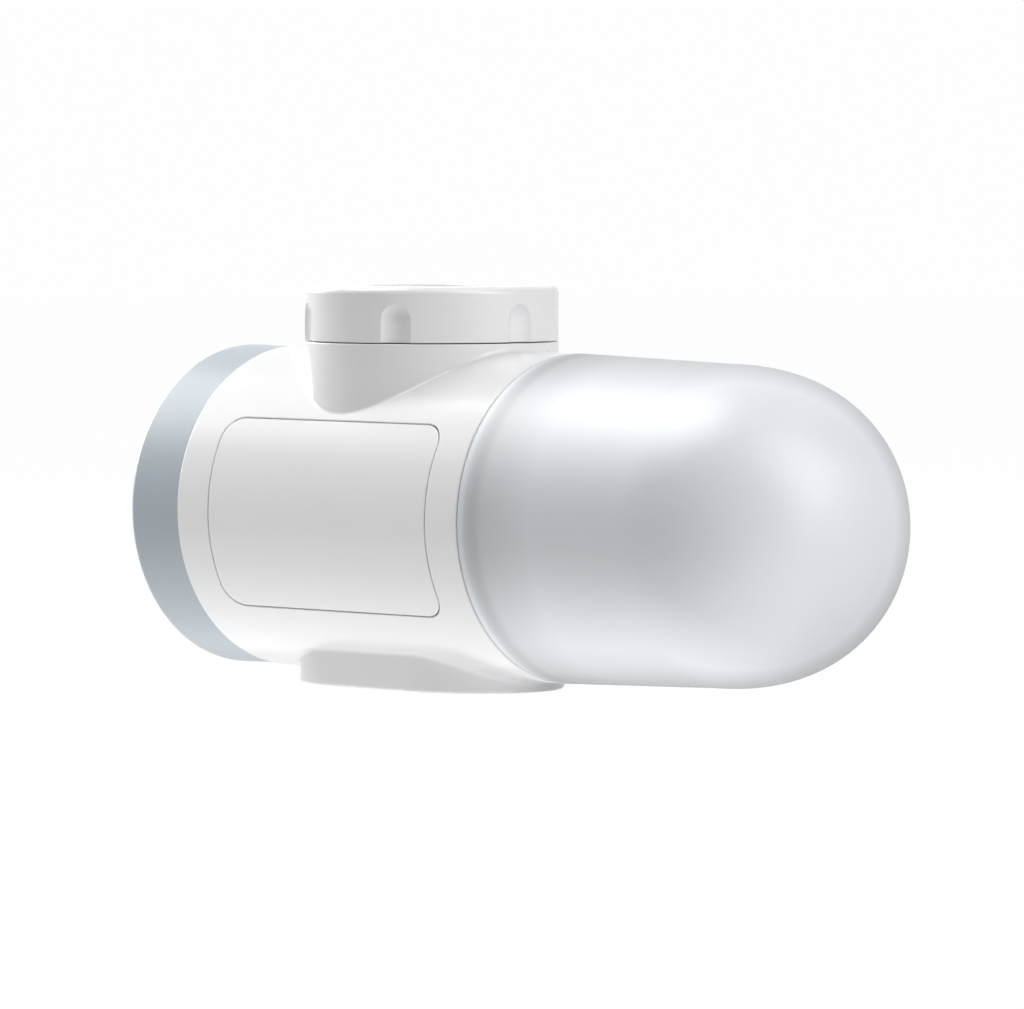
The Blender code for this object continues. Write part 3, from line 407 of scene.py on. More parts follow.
class Shell:
    """Gathers the patches of one piece's surface and joins them into a mesh."""

    def __init__(self) -> None:
        """Starts with no patches."""
        self._points: list[Array] = []
        self._normals: list[Array] = []
        self._faces: list[Array] = []
        self._count = 0

    def patch(self, points: Array, normals: Array, faces: Array) -> None:
        """Adds points, their outward directions, and faces of three or four corners.

        Args:
            points: The points.
            normals: A direction for each, or one for all.
            faces: Rows of point numbers.
        """
        self._points.append(points.reshape(-1, 3))
        self._normals.append(np.broadcast_to(normals, points.shape).reshape(-1, 3))
        self._faces.append(faces + self._count)
        self._count += self._points[-1].shape[0]

    def strip(self, points: Array, normals: Array, wrap: bool = True) -> None:
        """Adds a grid of rows and columns.

        Args:
            points: Rows by columns by three.
            normals: Outward directions of the same shape, or one for all.
            wrap: Whether the last column joins the first.
        """
        rows, columns = points.shape[:2]
        reach = columns if wrap else columns - 1
        row, column = np.meshgrid(np.arange(rows - 1), np.arange(reach), indexing="ij")
        after = (column + 1) % columns
        corners = [row * columns + column, row * columns + after,
                   (row + 1) * columns + after, (row + 1) * columns + column]
        self.patch(points, normals, np.stack(corners, axis=-1).reshape(-1, 4))

    def lathe(self, runs: Sequence[Run], axis: Axis, turn: Array = ROUND_TURN,
              centre: float = 0.0) -> None:
        """Turns a section about an axis.

        Args:
            runs: The section's stretches as (along, out).
            axis: The axis to turn about.
            turn: Angles of the columns.
            centre: Where an inlet-wise axis stands along the barrel.
        """
        for run in runs:
            self.strip(axis.spin(run.points, turn, centre), axis.spin(run.normals, turn))

    def skirt(self, loop: Array, out: Array, runs: Sequence[Run], place: Place,
              weight: Array | None = None) -> None:
        """Sweeps a section round an outline.

        Args:
            loop: The outline's points in the drawing.
            out: Their outward directions.
            runs: Stretches of (offset outwards, height).
            place: Where the drawing lies.
            weight: How far each point of the outline takes the offset, 1 by default.
        """
        share = np.ones(len(loop)) if weight is None else weight
        for run in runs:
            offset = run.points[:, :1] * share[None]
            flat = loop[None] + out[None] * offset[..., None]
            points = place.at(flat[..., 0], flat[..., 1], run.points[:, 1:])
            side = run.normals[:, :1]
            rise = run.normals[:, 1:] * share[None]
            facing = place.facing(out[None, :, 0] * side, out[None, :, 1] * side, rise,
                                  flat[..., 1])
            self.strip(points, unit(facing))

    def fill(self, loops: Sequence[Array], height: float, place: Place, side: int = 1,
             extra: Array | None = None) -> None:
        """Fills the region between an outline and its holes.

        Args:
            loops: The outline and the holes in the drawing.
            height: Height of the fill.
            place: Where the drawing lies.
            side: 1 where the fill faces up the drawing's height, -1 where it faces down.
            extra: More points for a surface that curves.
        """
        flat, triangles = filled(loops, extra)
        level = np.full(len(flat), height)
        zero = np.zeros(len(flat))
        self.patch(place.at(flat[:, 0], flat[:, 1], level),
                   place.facing(zero, zero, zero + side, flat[:, 1]), triangles)

    def finish(self, name: str, material: Skin) -> Piece:
        """Joins the patches into one smooth object in the frame's place.

        Args:
            name: Name of the piece.
            material: Its finish.

        Returns:
            The new object, at the origin, with its place in its mesh.
        """
        points = np.concatenate(self._points)
        normals = np.concatenate(self._normals)
        _, first, same = np.unique(np.round(points / WELD).astype(np.int64), axis=0,
                                   return_index=True, return_inverse=True)
        same = same.reshape(-1)
        faces: list[list[int]] = []
        sources: list[int] = []
        for group in self._faces:
            for corner, source in zip(same[group].tolist(), group.tolist()):
                pairs = [(c, s) for k, (c, s) in enumerate(zip(corner, source))
                         if c != corner[k - 1]]
                if len({c for c, _ in pairs}) < 3:
                    continue
                faces.append([c for c, _ in pairs])
                sources += [s for _, s in pairs]
        lifted = (points[first] + np.array([0.0, 0.0, AXIS_HEIGHT])) * METRES
        mesh = bpy.data.meshes.new(name)
        mesh.from_pydata(lifted.tolist(), [], faces)
        mesh.polygons.foreach_set("use_smooth", [True] * len(mesh.polygons))
        facing = mesh.attributes.new("facing", "FLOAT_VECTOR", "CORNER")
        facing.data.foreach_set("vector", unit(normals[sources]).ravel())
        turn_outwards(mesh)
        mesh.materials.append(material)
        return add_object(name, mesh)


# Finishes


def colour(code: str) -> tuple[float, float, float, float]:
    """Turns an sRGB hex colour into linear values.

    Args:
        code: Six hex digits after a #.

    Returns:
        Red, green, blue and an alpha of 1.
    """
    parts = [int(code[k:k + 2], 16) / 255 for k in (1, 3, 5)]
    red, green, blue = (p / 12.92 if p <= 0.04045 else ((p + 0.055) / 1.055) ** 2.4
                        for p in parts)
    return red, green, blue, 1.0


def add_node(tree: Tree, kind: str, values: dict | None = None,
             links: dict | None = None, **settings: object) -> Node:
    """Adds a node with its settings, input values and links.

    Args:
        tree: The tree that takes the node.
        kind: Blender's name of the node.
        values: Input name or number to value.
        links: Input name or number to the socket that feeds it, to the node whose first output
            does, or to a list of these.
        **settings: The node's own settings.

    Returns:
        The node.
    """
    node = tree.nodes.new(kind)
    for key, value in settings.items():
        setattr(node, key, value)
    for key, value in (values or {}).items():
        node.inputs[key].default_value = value
    for key, feeds in (links or {}).items():
        for feed in feeds if isinstance(feeds, list) else [feeds]:
            socket = feed.outputs[0] if isinstance(feed, Node) else feed
            tree.links.new(socket, node.inputs[key])
    return node


def blank_material(name: str) -> tuple[Skin, Tree]:
    """A node material with nothing in it yet.

    Args:
        name: Its name.

    Returns:
        The material and its tree.
    """
    made = bpy.data.materials.new(name)
    made.use_nodes = True
    made.node_tree.nodes.clear()
    return made, made.node_tree


class Finish(ABC):
    """A finish, whose material is made when a piece first needs it."""

    name: str
    _made: dict[str, Skin] = {}

    @abstractmethod
    def shader(self, tree: Tree, where: Socket) -> Node:
        """Adds the finish's nodes and gives its last shader."""

    def get(self) -> Skin:
        """The finish's material.

        Returns:
            The material, made on the first call.
        """
        if self.name not in self._made:
            made, tree = blank_material(self.name)
            where = add_node(tree, "ShaderNodeTexCoord").outputs["Object"]
            add_node(tree, "ShaderNodeOutputMaterial", None,
                     {"Surface": self.shader(tree, where)})
            self._made[self.name] = made
        return self._made[self.name]


@dataclass(frozen=True)
class Moulded(Finish):
    """An injection-moulded plastic: a smooth skin over a fine grain left by the mould.

    Light and shade can be painted into its colour as levels that multiply it: painted shade
    of painted_mid_shade at mid height, full within the first painted_mid_shade_height (mm),
    gone past the second, and fading out along the barrel between the stations of
    painted_mid_shade_end; painted shade of painted_edge_shade where it is seen edge-on; and
    painted shade and painted highlight in painted_bands of (station, level) along the barrel.
    """

    name: str
    hex_colour: str
    shade_hex: str
    roughness: float
    grain_mm: float = 0.35
    grain_depth_mm: float = 0.004
    coat: float = 0.0
    coat_roughness: float = 0.1
    ior: float = 1.53
    glow: float = 0.0
    # Painted shade where the skin is seen edge-on.
    painted_edge_shade: float = 1.0
    painted_edge_turn: Span = (0.55, 0.95)
    # Painted shade in a soft zone at mid height, fading out along the barrel.
    painted_mid_shade: float = 1.0
    painted_mid_shade_height: Span = (4.0, 24.0)
    painted_mid_shade_end: Span = (74.0, 98.0)
    # Painted highlight at the rim and painted shade bands behind it, along the barrel.
    painted_bands: tuple[Span, ...] = ()

    def shader(self, tree: Tree, where: Socket) -> Node:
        """Builds the finish: cloudy colour, uneven gloss and a fine grain in relief.

        Args:
            tree: The material's tree.
            where: Object coordinates.

        Returns:
            The shader.
        """
        add = partial(add_node, tree)
        cloud = add("ShaderNodeTexNoise", {"Scale": 45.0, "Detail": 2.0}, {"Vector": where})
        tint = add("ShaderNodeMix", {6: colour(self.hex_colour), 7: colour(self.shade_hex)},
                   {0: cloud}, data_type="RGBA")
        skin = tint.outputs[2]
        # Painted shade and painted highlight: each level multiplies the colour.
        painted_levels = [self._paint_bands(tree, where)] if self.painted_bands else []
        if self.painted_mid_shade < 1.0:
            painted_levels.append(self._paint_mid_shade(tree, where))
        if self.painted_edge_shade < 1.0:
            painted_levels.append(self._paint_edge_shade(tree))
        for shade in painted_levels:
            skin = add("ShaderNodeMix", {0: 1.0}, {6: skin, 7: shade},
                       data_type="RGBA", blend_type="MULTIPLY").outputs[2]
        grain = add("ShaderNodeTexNoise",
                    {"Scale": 1000.0 / self.grain_mm, "Detail": 3.0, "Roughness": 0.6},
                    {"Vector": where})
        gloss = add("ShaderNodeMapRange",
                    {"To Min": self.roughness * 0.92, "To Max": self.roughness * 1.08},
                    {"Value": grain})
        relief = add("ShaderNodeBump",
                     {"Strength": 0.25, "Distance": self.grain_depth_mm * METRES},
                     {"Height": grain})
        return add("ShaderNodeBsdfPrincipled", {"IOR": self.ior, "Coat Weight": self.coat,
                    "Coat Roughness": self.coat_roughness,
                    "Subsurface Weight": self.glow, "Subsurface Scale": 0.002},
                   {"Base Color": skin, "Roughness": gloss, "Normal": relief})

    def _paint_mid_shade(self, tree: Tree, where: Socket) -> Node:
        """Painted shade in a soft zone at mid height, fading out along the barrel towards the
        dome.

        Args:
            tree: The material's tree.
            where: Object coordinates.

        Returns:
            The level of the colour.
        """
        add = partial(add_node, tree)
        parts = add("ShaderNodeSeparateXYZ", None, {0: where})
        height = add("ShaderNodeMath", {1: AXIS_HEIGHT * METRES},
                     {0: parts.outputs["Z"]}, operation="SUBTRACT")
        off = add("ShaderNodeMath", None, {0: height}, operation="ABSOLUTE")
        reaches = ((off, self.painted_mid_shade_height), (parts.outputs["X"], self.painted_mid_shade_end))
        clear = [add("ShaderNodeMapRange",
                     {"From Min": near * METRES, "From Max": far * METRES},
                     {"Value": feed}, interpolation_type="SMOOTHSTEP")
                 for feed, (near, far) in reaches]
        most = add("ShaderNodeMath", None, {0: clear[0], 1: clear[1]}, operation="MAXIMUM")
        return add("ShaderNodeMapRange", {"To Min": self.painted_mid_shade}, {"Value": most})

    def _paint_edge_shade(self, tree: Tree) -> Node:
        """Painted shade where the skin is seen edge-on, taken from the Layer Weight's facing.

        Args:
            tree: The material's tree.

        Returns:
            The level of the colour.
        """
        turned = add_node(tree, "ShaderNodeLayerWeight", {"Blend": 0.5})
        near, far = self.painted_edge_turn
        return add_node(tree, "ShaderNodeMapRange",
                        {"From Min": near, "From Max": far, "To Min": 1.0,
                         "To Max": self.painted_edge_shade}, {"Value": turned.outputs["Facing"]})

    def _paint_bands(self, tree: Tree, where: Socket) -> Node:
        """Painted shade and painted highlight in soft bands along the barrel.

        Args:
            tree: The material's tree.
            where: Object coordinates.

        Returns:
            The level of the colour.
        """
        low, high = self.painted_bands[0][0], self.painted_bands[-1][0]
        parts = add_node(tree, "ShaderNodeSeparateXYZ", None, {0: where})
        share = add_node(tree, "ShaderNodeMapRange",
                         {"From Min": low * METRES, "From Max": high * METRES},
                         {"Value": parts.outputs["X"]})
        ramp = add_node(tree, "ShaderNodeValToRGB", None, {"Fac": share})
        ramp.color_ramp.interpolation = "B_SPLINE"
        stops = ramp.color_ramp.elements
        while len(stops) < len(self.painted_bands):
            stops.new(0.5)
        for stop, (station, level) in zip(stops, self.painted_bands):
            stop.position = (station - low) / (high - low)
            stop.color = (level, level, level, 1.0)
        return ramp


@dataclass(frozen=True)
class Brushed(Finish):
    """A stainless steel with fine lines left by brushing."""

    name: str
    hex_colour: str
    roughness: float
    line_mm: float = 0.15

    def shader(self, tree: Tree, where: Socket) -> Node:
        """Builds the finish: a metal whose gloss changes along fine lines.

        Args:
            tree: The material's tree.
            where: Object coordinates.

        Returns:
            The shader.
        """
        add = partial(add_node, tree)
        stretch = add("ShaderNodeMapping",
                      {"Scale": (1000.0 / self.line_mm, 60.0, 1000.0 / self.line_mm)},
                      {"Vector": where})
        lines = add("ShaderNodeTexNoise", {"Scale": 1.0, "Detail": 3.0}, {"Vector": stretch})
        gloss = add("ShaderNodeMapRange",
                    {"To Min": self.roughness * 0.7, "To Max": self.roughness * 1.4},
                    {"Value": lines})
        relief = add("ShaderNodeBump", {"Strength": 0.2, "Distance": 0.00001},
                     {"Height": lines})
        return add("ShaderNodeBsdfPrincipled",
                   {"Base Color": colour(self.hex_colour), "Metallic": 1.0},
                   {"Roughness": gloss, "Normal": relief})


@dataclass(frozen=True)
class Fibrous(Finish):
    """A felted fleece or a pressed block of granules, rough all over."""

    name: str
    hex_colour: str
    shade_hex: str
    fibre_mm: float
    depth_mm: float
    sheen: float = 0.0

    def shader(self, tree: Tree, where: Socket) -> Node:
        """Builds the finish: mottled colour over a deep, uneven relief.

        Args:
            tree: The material's tree.
            where: Object coordinates.

        Returns:
            The shader.
        """
        add = partial(add_node, tree)
        cells = add("ShaderNodeTexVoronoi", {"Scale": 1000.0 / self.fibre_mm},
                    {"Vector": where})
        threads = add("ShaderNodeTexNoise",
                      {"Scale": 500.0 / self.fibre_mm, "Detail": 6.0, "Distortion": 1.5},
                      {"Vector": where})
        mixed = add("ShaderNodeMath", None, {0: cells, 1: threads}, operation="MULTIPLY")
        tint = add("ShaderNodeMix", {6: colour(self.shade_hex), 7: colour(self.hex_colour)},
                   {0: threads}, data_type="RGBA")
        relief = add("ShaderNodeBump", {"Strength": 0.7, "Distance": self.depth_mm * METRES},
                     {"Height": mixed})
        return add("ShaderNodeBsdfPrincipled", {"Roughness": 0.95, "Sheen Weight": self.sheen},
                   {"Base Color": tint.outputs[2], "Normal": relief})


# White ABS from a polished mould: a clear, even gloss that shows soft reflections.
WHITE_ABS = Moulded("white_abs", "#f2f2f3", "#efeff0", 0.26, coat=0.3, coat_roughness=0.12)
# Blue-grey ABS off a satin mould: a soft sheen, light where it meets the lamps.
BLUE_GREY_ABS = Moulded("blue_grey_abs", "#a8b3bb", "#a2adb6", 0.4, coat=0.5,
                        coat_roughness=0.35)
# Frosted copolyester: a satin, silvery skin, opaque here. Its colour carries painted light: a
# painted highlight band at the rim, painted shade bands for the seal and thread behind the
# wall, painted shade in a soft zone at mid height, and painted shade where the wall is seen
# edge-on.
FROSTED_COPOLYESTER = Moulded("frosted_copolyester", "#e8ecf1", "#e4e8ed", 0.42, coat=0.6,
                              coat_roughness=0.45, ior=1.58, painted_edge_shade=0.45,
                              painted_mid_shade=0.82, painted_mid_shade_height=(3.0, 20.0),
                              painted_bands=((36.5, 1.15), (37.3, 1.15), (37.7, 0.95), (38.4, 0.74),
                                     (39.6, 0.64), (40.8, 0.64), (42.2, 0.8), (45.0, 0.83),
                                     (48.0, 0.87), (54.0, 1.0)))
# Natural acetal: waxy, slightly translucent off-white.
NATURAL_ACETAL = Moulded("natural_acetal", "#e9e8e1", "#e3e2da", 0.38, glow=0.15)
# Nitrile rubber: black, matte, with a fine skin.
NITRILE_RUBBER = Moulded("nitrile_rubber", "#1b1b1c", "#222223", 0.62, grain_mm=0.2,
                         grain_depth_mm=0.01)
# Polypropylene caps of the cartridge: pale blue and waxy.
PALE_POLYPROPYLENE = Moulded("pale_polypropylene", "#cfdde8", "#c6d6e2", 0.36, glow=0.1)
# Stainless steel of the screws and the strainer.
STAINLESS_STEEL = Brushed("stainless_steel", "#c9cacb", 0.28)
# Activated carbon pressed into a block: black granules.
PRESSED_CARBON = Fibrous("pressed_carbon", "#2b2b2c", "#121212", 0.5, 0.15)
# Melt-blown polypropylene fleece: white, felted, dull.
MELT_BLOWN_FLEECE = Fibrous("melt_blown_fleece", "#f3f2ec", "#dcdbd3", 0.35, 0.08, sheen=0.4)

# Sub-assemblies


@dataclass(frozen=True)
class Part:
    """Where a piece belongs: its CAD node, its body and its finish; slot keeps a name that is
    not used.
    """

    node: str
    body: str
    slot: str
    finish: Finish

    def claim(self, piece: Piece) -> Piece:
        """Lets a piece ride on the body and stand for the node.

        Args:
            piece: The piece.

        Returns:
            The same piece.
        """
        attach(piece, self.body)
        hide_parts(self.node)
        return piece

    def make(self, name: str, shell: Shell) -> Piece:
        """Joins a shell into a piece in the part's finish, and claims it."""
        return self.claim(shell.finish(name, self.finish.get()))

    def turned(self, name: str, axis: Axis, corners: Sequence[Corner], closed: bool = True,
               centre: float = 0.0) -> Piece:
        """Makes one turned piece.

        Args:
            name: Name of the piece.
            axis: The axis that it is turned about.
            corners: Its section as (along, out[, rounding]), with the outside on the left.
            closed: Whether the section closes on itself, as a ring's does.
            centre: Where an inlet-wise axis stands along the barrel.

        Returns:
            The piece.
        """
        shell = Shell()
        shell.lathe(section(corners, 1, closed), axis, ROUND_TURN, centre)
        return self.make(name, shell)

    def seal(self, name: str, station: float, radius: float, thickness: float) -> Piece:
        """Makes a round seal about the barrel's axis.

        Args:
            name: Name of the piece.
            station: Where it lies along the axis.
            radius: Radius of its centre line.
            thickness: Radius of its cord.

        Returns:
            The piece.
        """
        out = bearing(np.linspace(0.0, math.tau, 25))
        shell = Shell()
        shell.lathe([Run(np.array([station, radius]) + thickness * out, out)], Axis.BARREL)
        return self.make(name, shell)


@dataclass
class Housing:
    """The white barrel with its two bosses, its front panel seat and its threaded spigot."""

    radius: float = BARREL_RADIUS
    left: float = -35.85
    right: float = 36.3
    edge: float = 0.4
    right_edge: float = 0.25
    boss_radius: float = 22.7
    boss_top: float = 30.45
    boss_fillet: float = 0.9
    boss_edge: float = 0.2
    inlet_bore: float = 9.3
    inlet_depth: float = 11.0
    outlet_half_width: float = 16.0
    outlet_centre: float = 11.0
    outlet_bottom: float = -31.0
    outlet_fillet: float = 1.25
    outlet_edge: float = 0.55
    spray_x: float = -11.5
    spray_bore: float = 10.1
    stream_x: float = 11.5
    stream_bore: float = 8.1
    pocket_depth: float = 6.0
    pocket_edge: float = 0.25
    panel_left: float = -27.4
    panel_right: float = 28.3
    panel_half_angle: float = math.radians(35.2)
    panel_corner: float = 4.4
    panel_gap: float = 0.26
    panel_edge: float = 0.14
    panel_thickness: float = 1.6
    panel_clearance: float = 0.3
    spigot_radius: float = 25.2
    spigot_bore: float = 22.6
    spigot_end: float = 47.0
    spigot_lip: float = 0.5
    thread_pitch: float = 3.0
    thread_height: float = 0.42
    thread_lead: float = 2.6
    bulkhead: float = 9.0
    socket_stem: float = 6.8
    socket_cup: float = 10.1
    socket_bore: float = 7.3
    socket_hole: float = 4.5
    socket_step: float = 20.7
    socket_length: float = 29.0
    inlet_pipe: float = 12.2
    down_pipe: float = 6.0
    down_pipe_x: float = 14.3
    fillet_steps: int = 8
    end_wall: float = 3.0
    end_depth: float = 2.9
    bulkhead_half: float = 1.0
    socket_neck: float = 17.9

    @property
    def front(self) -> float:
        """Where the middle of the front lies in the rolled drawing."""
        return -self.radius * math.pi / 2

    def build(self) -> None:
        """Makes the skin, the chamber's fittings and the front panel."""
        skin = Part("main_housing", "housing", "white_abs", WHITE_ABS).make(
            "housing_skin", self._skin())
        fittings = self._chamber_fittings().finish("chamber_fittings", WHITE_ABS.get())
        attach(fittings, "housing")
        panel = Part("front_panel", "housing", "white_abs", WHITE_ABS).make(
            "front_panel_plate", self._panel())
        LOG.info("housing: skin %d faces, panel %d faces", len(skin.data.polygons),
                 len(panel.data.polygons))

    def _panel_loop(self, margin: float) -> Pair:
        """The panel's outline, grown by a margin, in the rolled drawing.

        Args:
            margin: How far it grows.

        Returns:
            Its points and their outward directions.
        """
        half = self.radius * self.panel_half_angle
        low = (self.panel_left - margin, self.front - half - margin)
        high = (self.panel_right + margin, self.front + half + margin)
        corners = [low, (high[0], low[1]), high, (low[0], high[1])]
        return rounded_loop(corners, self.panel_corner + margin, 10, 1.0)

    def _boss_rows(self, centres: Array, out: Array, reach: float, fillet: float,
                   side: int) -> Pair:
        """The round that blends an upright boss into the barrel.

        Args:
            centres: For each point of the boss's plan, the centre that its wall curves about.
            out: Outward directions of the plan.
            reach: Radius of the boss about those centres.
            fillet: Radius of the blend.
            side: 1 above the barrel, -1 below it.

        Returns:
            Points and outward directions, from the boss's wall to the barrel.
        """
        plan = centres + out * (reach + fillet)
        height = side * np.sqrt((self.radius + fillet) ** 2 - plan[:, 1] ** 2)
        ball = np.column_stack([plan, height])
        to_wall = together(-out[:, 0], -out[:, 1], 0.0)
        to_barrel = unit(together(0.0, -plan[:, 1], -height))
        angle = np.arccos(np.clip(np.einsum("ij,ij->i", to_wall, to_barrel), -1, 1))
        share = np.linspace(0.0, 1.0, self.fillet_steps + 1)[:, None]
        sine = np.sin(angle)[None]
        mix = (to_wall[None] * (np.sin((1 - share) * angle) / sine)[..., None]
               + to_barrel[None] * (np.sin(share * angle) / sine)[..., None])
        return ball[None] + fillet * mix, -mix

    def _unrolled(self, points: Array) -> Array:
        """Places on the barrel as (along, round) in the rolled drawing.

        Args:
            points: The places in space.

        Returns:
            The flat places.
        """
        turn = np.arctan2(points[:, 1], points[:, 2])
        turn = np.where(turn > math.pi / 2 + 1e-9, turn - math.tau, turn)
        return together(points[:, 0], turn * self.radius)

    def _stadium(self) -> Pair:
        """Centres and outward directions round the outlet boss's plan.

        Returns:
            A row of each for every point.
        """
        half = np.linspace(-math.pi / 2, math.pi / 2, 49)
        side = np.linspace(1.0, -1.0, 23)[1:-1]
        centres, turns = [], []
        for end, start in ((1.0, 0.0), (-1.0, math.pi)):
            middle = end * self.outlet_centre
            centres += [together(middle + 0 * half, 0.0), together(side * middle, 0.0)]
            turns += [half + start, end * math.pi / 2 + 0 * side]
        return np.concatenate(centres), bearing(np.concatenate(turns))

    def _skin(self) -> Shell:
        """The whole outer and inner surface of the housing, as one closed piece.

        Returns:
            Its patches.
        """
        shell = Shell()
        _, boss_out = circle(1.0, count=144)
        boss_rows, boss_normals = self._boss_rows(
            np.zeros_like(boss_out), boss_out, self.boss_radius, self.boss_fillet, 1)
        centres, outlet_out = self._stadium()
        outlet_rows, outlet_normals = self._boss_rows(
            centres, outlet_out, self.outlet_half_width, self.outlet_fillet, -1)
        shell.strip(boss_rows, boss_normals)
        shell.strip(outlet_rows, outlet_normals)
        seat, seat_out = self._panel_loop(self.panel_gap)
        self._barrel(shell, self._unrolled(boss_rows[-1]), self._unrolled(outlet_rows[-1]),
                     seat + seat_out * self.panel_edge)
        deep = self.panel_thickness + self.panel_clearance
        shell.skirt(seat, seat_out, lipped(self.panel_edge, deep), Rolled())
        shell.fill([seat], -deep, Rolled(), 1, self._grid(seat, 3.0))
        self._inlet_boss(shell, boss_rows[0], boss_out)
        self._outlet_boss(shell, centres, outlet_rows[0], outlet_out)
        self._ends(shell)
        return shell

    def _grid(self, loop: Array, step: float, margin: float = 0.8,
              avoid: Sequence[Array] = ()) -> Array:
        """Points on a regular grid inside an outline, clear of outlines by a margin.

        Args:
            loop: The outline.
            step: Distance between the points.
            margin: Least distance to an outline.
            avoid: Outlines of holes.

        Returns:
            The points.
        """
        low, high = loop.min(axis=0), loop.max(axis=0)
        across = np.arange(low[0] + step / 2, high[0], step)
        degrees = math.radians(2.0) * self.radius
        first = math.ceil(low[1] / degrees) * degrees
        up = np.arange(first, high[1], degrees * max(1, round(step / degrees)))
        grid = np.stack(np.meshgrid(across, up, indexing="ij"), axis=-1).reshape(-1, 2)
        grid = grid[inside_loops(grid, [loop, *avoid])]
        for other in (loop, *avoid):
            grid = grid[gap_to(grid, other) > margin]
        return grid

    def _barrel(self, shell: Shell, boss: Array, outlet: Array, seat: Array) -> None:
        """The plain barrel between its two ends, with holes for what stands on it.

        Args:
            shell: Takes the patches.
            boss: Outline of the inlet boss's foot.
            outlet: Outline of the outlet boss's foot.
            seat: Outline of the seat.
        """
        low, high = self.left + self.edge, self.right - self.right_edge
        step = math.tau / BARREL_COLUMNS * self.radius
        quarter = BARREL_COLUMNS // 4
        up = np.arange(quarter - BARREL_COLUMNS, quarter + 1) * step
        along = np.linspace(low, high, 37)
        rim = np.concatenate([together(along[:-1], up[0]), together(high, up[:-1]),
                              together(along[:0:-1], up[-1]), together(low, up[:0:-1])])
        holes = [boss, outlet, seat]
        shell.fill([rim, *holes], 0.0, Rolled(), 1, self._grid(rim, 2.0, 0.9, holes))

    @staticmethod
    def _upright(shell: Shell, row: Array, out: Array, end: float) -> None:
        """Adds a boss's wall, from a row of points on it to a height.

        Args:
            shell: Takes the patches.
            row: The points.
            out: Their flat outward directions.
            end: The height.
        """
        last = together(row[:, 0], row[:, 1], end)
        side = together(out[:, 0], out[:, 1], 0.0)
        shell.strip(np.stack([row, last]), np.stack([side, side]))

    def _inlet_boss(self, shell: Shell, low_row: Array, out: Array) -> None:
        """The upright wall of the inlet boss, its top and the bore in it.

        Args:
            shell: Takes the patches.
            low_row: Where the wall starts.
            out: Its outward directions.
        """
        edge = self.boss_edge
        self._upright(shell, low_row, out, self.boss_top - edge)
        runs = section([
            (self.boss_top - edge * 3, self.boss_radius),
            (self.boss_top, self.boss_radius, edge), (self.boss_top, self.inlet_bore),
            (self.boss_top - self.inlet_depth, self.inlet_bore),
            (self.boss_top - self.inlet_depth, 0.0),
        ], -1)
        shell.lathe(runs[1:], Axis.INLET, around(len(out)))

    def _outlet_boss(self, shell: Shell, centres: Array, top_row: Array, out: Array) -> None:
        """The wall of the outlet boss, its flat underside and the two pockets in it.

        Args:
            shell: Takes the patches.
            centres: The centre that each point's wall curves about.
            top_row: Where the wall starts.
            out: Its outward directions.
        """
        edge = self.outlet_edge
        self._upright(shell, top_row, out, self.outlet_bottom + edge)
        under = Level((0.0, 0.0, self.outlet_bottom))
        loop = centres + out * self.outlet_half_width
        rounding = section([(0.0, -edge * 3), (0.0, 0.0, edge), (-edge * 3, 0.0)], -1)[1:-1]
        shell.skirt(loop, out, rounding, under)
        holes = []
        for x, bore in ((self.spray_x, self.spray_bore), (self.stream_x, self.stream_bore)):
            hole, hole_out = circle(bore, (x, 0.0))
            holes.append(hole + hole_out * self.pocket_edge)
            shell.skirt(hole, hole_out, lipped(self.pocket_edge, self.pocket_depth), under)
            shell.fill([hole], -self.pocket_depth, under)
        shell.fill([loop - out * edge, *holes], 0.0, under)

    def _ends(self, shell: Shell) -> None:
        """The left end behind the knob, and the right end with its threaded spigot.

        Args:
            shell: Takes the patches.
        """
        left = section([
            (self.left + self.edge * 3, self.radius), (self.left, self.radius, self.edge),
            (self.left, self.radius - self.end_wall),
            (self.left + self.end_depth, self.radius - self.end_wall),
            (self.left + self.end_depth, 0.0),
        ], -1)[1:]
        shell.lathe(left, Axis.BARREL, BARREL_TURN)
        shoulder = section([
            (self.right - self.right_edge * 3, self.radius),
            (self.right, self.radius, self.right_edge), (self.right, self.spigot_radius),
        ])[1:]
        shell.lathe(shoulder, Axis.BARREL, BARREL_TURN)
        self._thread(shell)
        lip = self.spigot_lip
        mouth = section([
            (self.spigot_end, self.spigot_radius - lip),
            (self.spigot_end, self.spigot_bore + lip),
            (self.spigot_end - lip, self.spigot_bore), (self.bulkhead, self.spigot_bore, 1.2),
            (self.bulkhead, 0.0),
        ])
        shell.lathe(mouth, Axis.BARREL, BARREL_TURN)

    def _spigot_wall(self, x: Array, angle: Array) -> Array:
        """Radius of the spigot with its thread, which fades out at both ends.

        Args:
            x: Stations along the axis.
            angle: Angles round it.

        Returns:
            The radii.
        """
        ends = (self.right + self.thread_lead, self.spigot_end - self.spigot_lip - 0.1)
        ridge = thread_ridge(x, angle, self.thread_pitch, ends)
        return self.spigot_radius + self.thread_height * ridge

    def _thread(self, shell: Shell) -> None:
        """The spigot's right-hand thread and the bevel at its end.

        Args:
            shell: Takes the patches.
        """
        lip = self.spigot_lip
        along = np.linspace(self.right, self.spigot_end - lip, 64)
        shell.strip(*uneven_wall(along, BARREL_TURN, self._spigot_wall))
        end, slant = along[-1], math.sqrt(0.5)
        rim = Run(np.array([[end, self.spigot_radius], [end + lip, self.spigot_radius - lip]]),
                  np.array([[slant, slant], [slant, slant]]))
        shell.lathe([rim], Axis.BARREL, BARREL_TURN)

    def _panel(self) -> Shell:
        """The flush panel, a rolled plate with softened edges.

        Returns:
            Its patches.
        """
        shell = Shell()
        loop, out = self._panel_loop(0.0)
        edge, deep = self.panel_edge, self.panel_thickness
        face = loop - out * edge
        shell.fill([face], 0.0, Rolled(), 1, self._grid(face, 2.0))
        shell.skirt(loop, out, lipped(edge, deep, -1), Rolled())
        shell.fill([loop], -deep, Rolled(), -1, self._grid(loop, 3.0))
        return shell

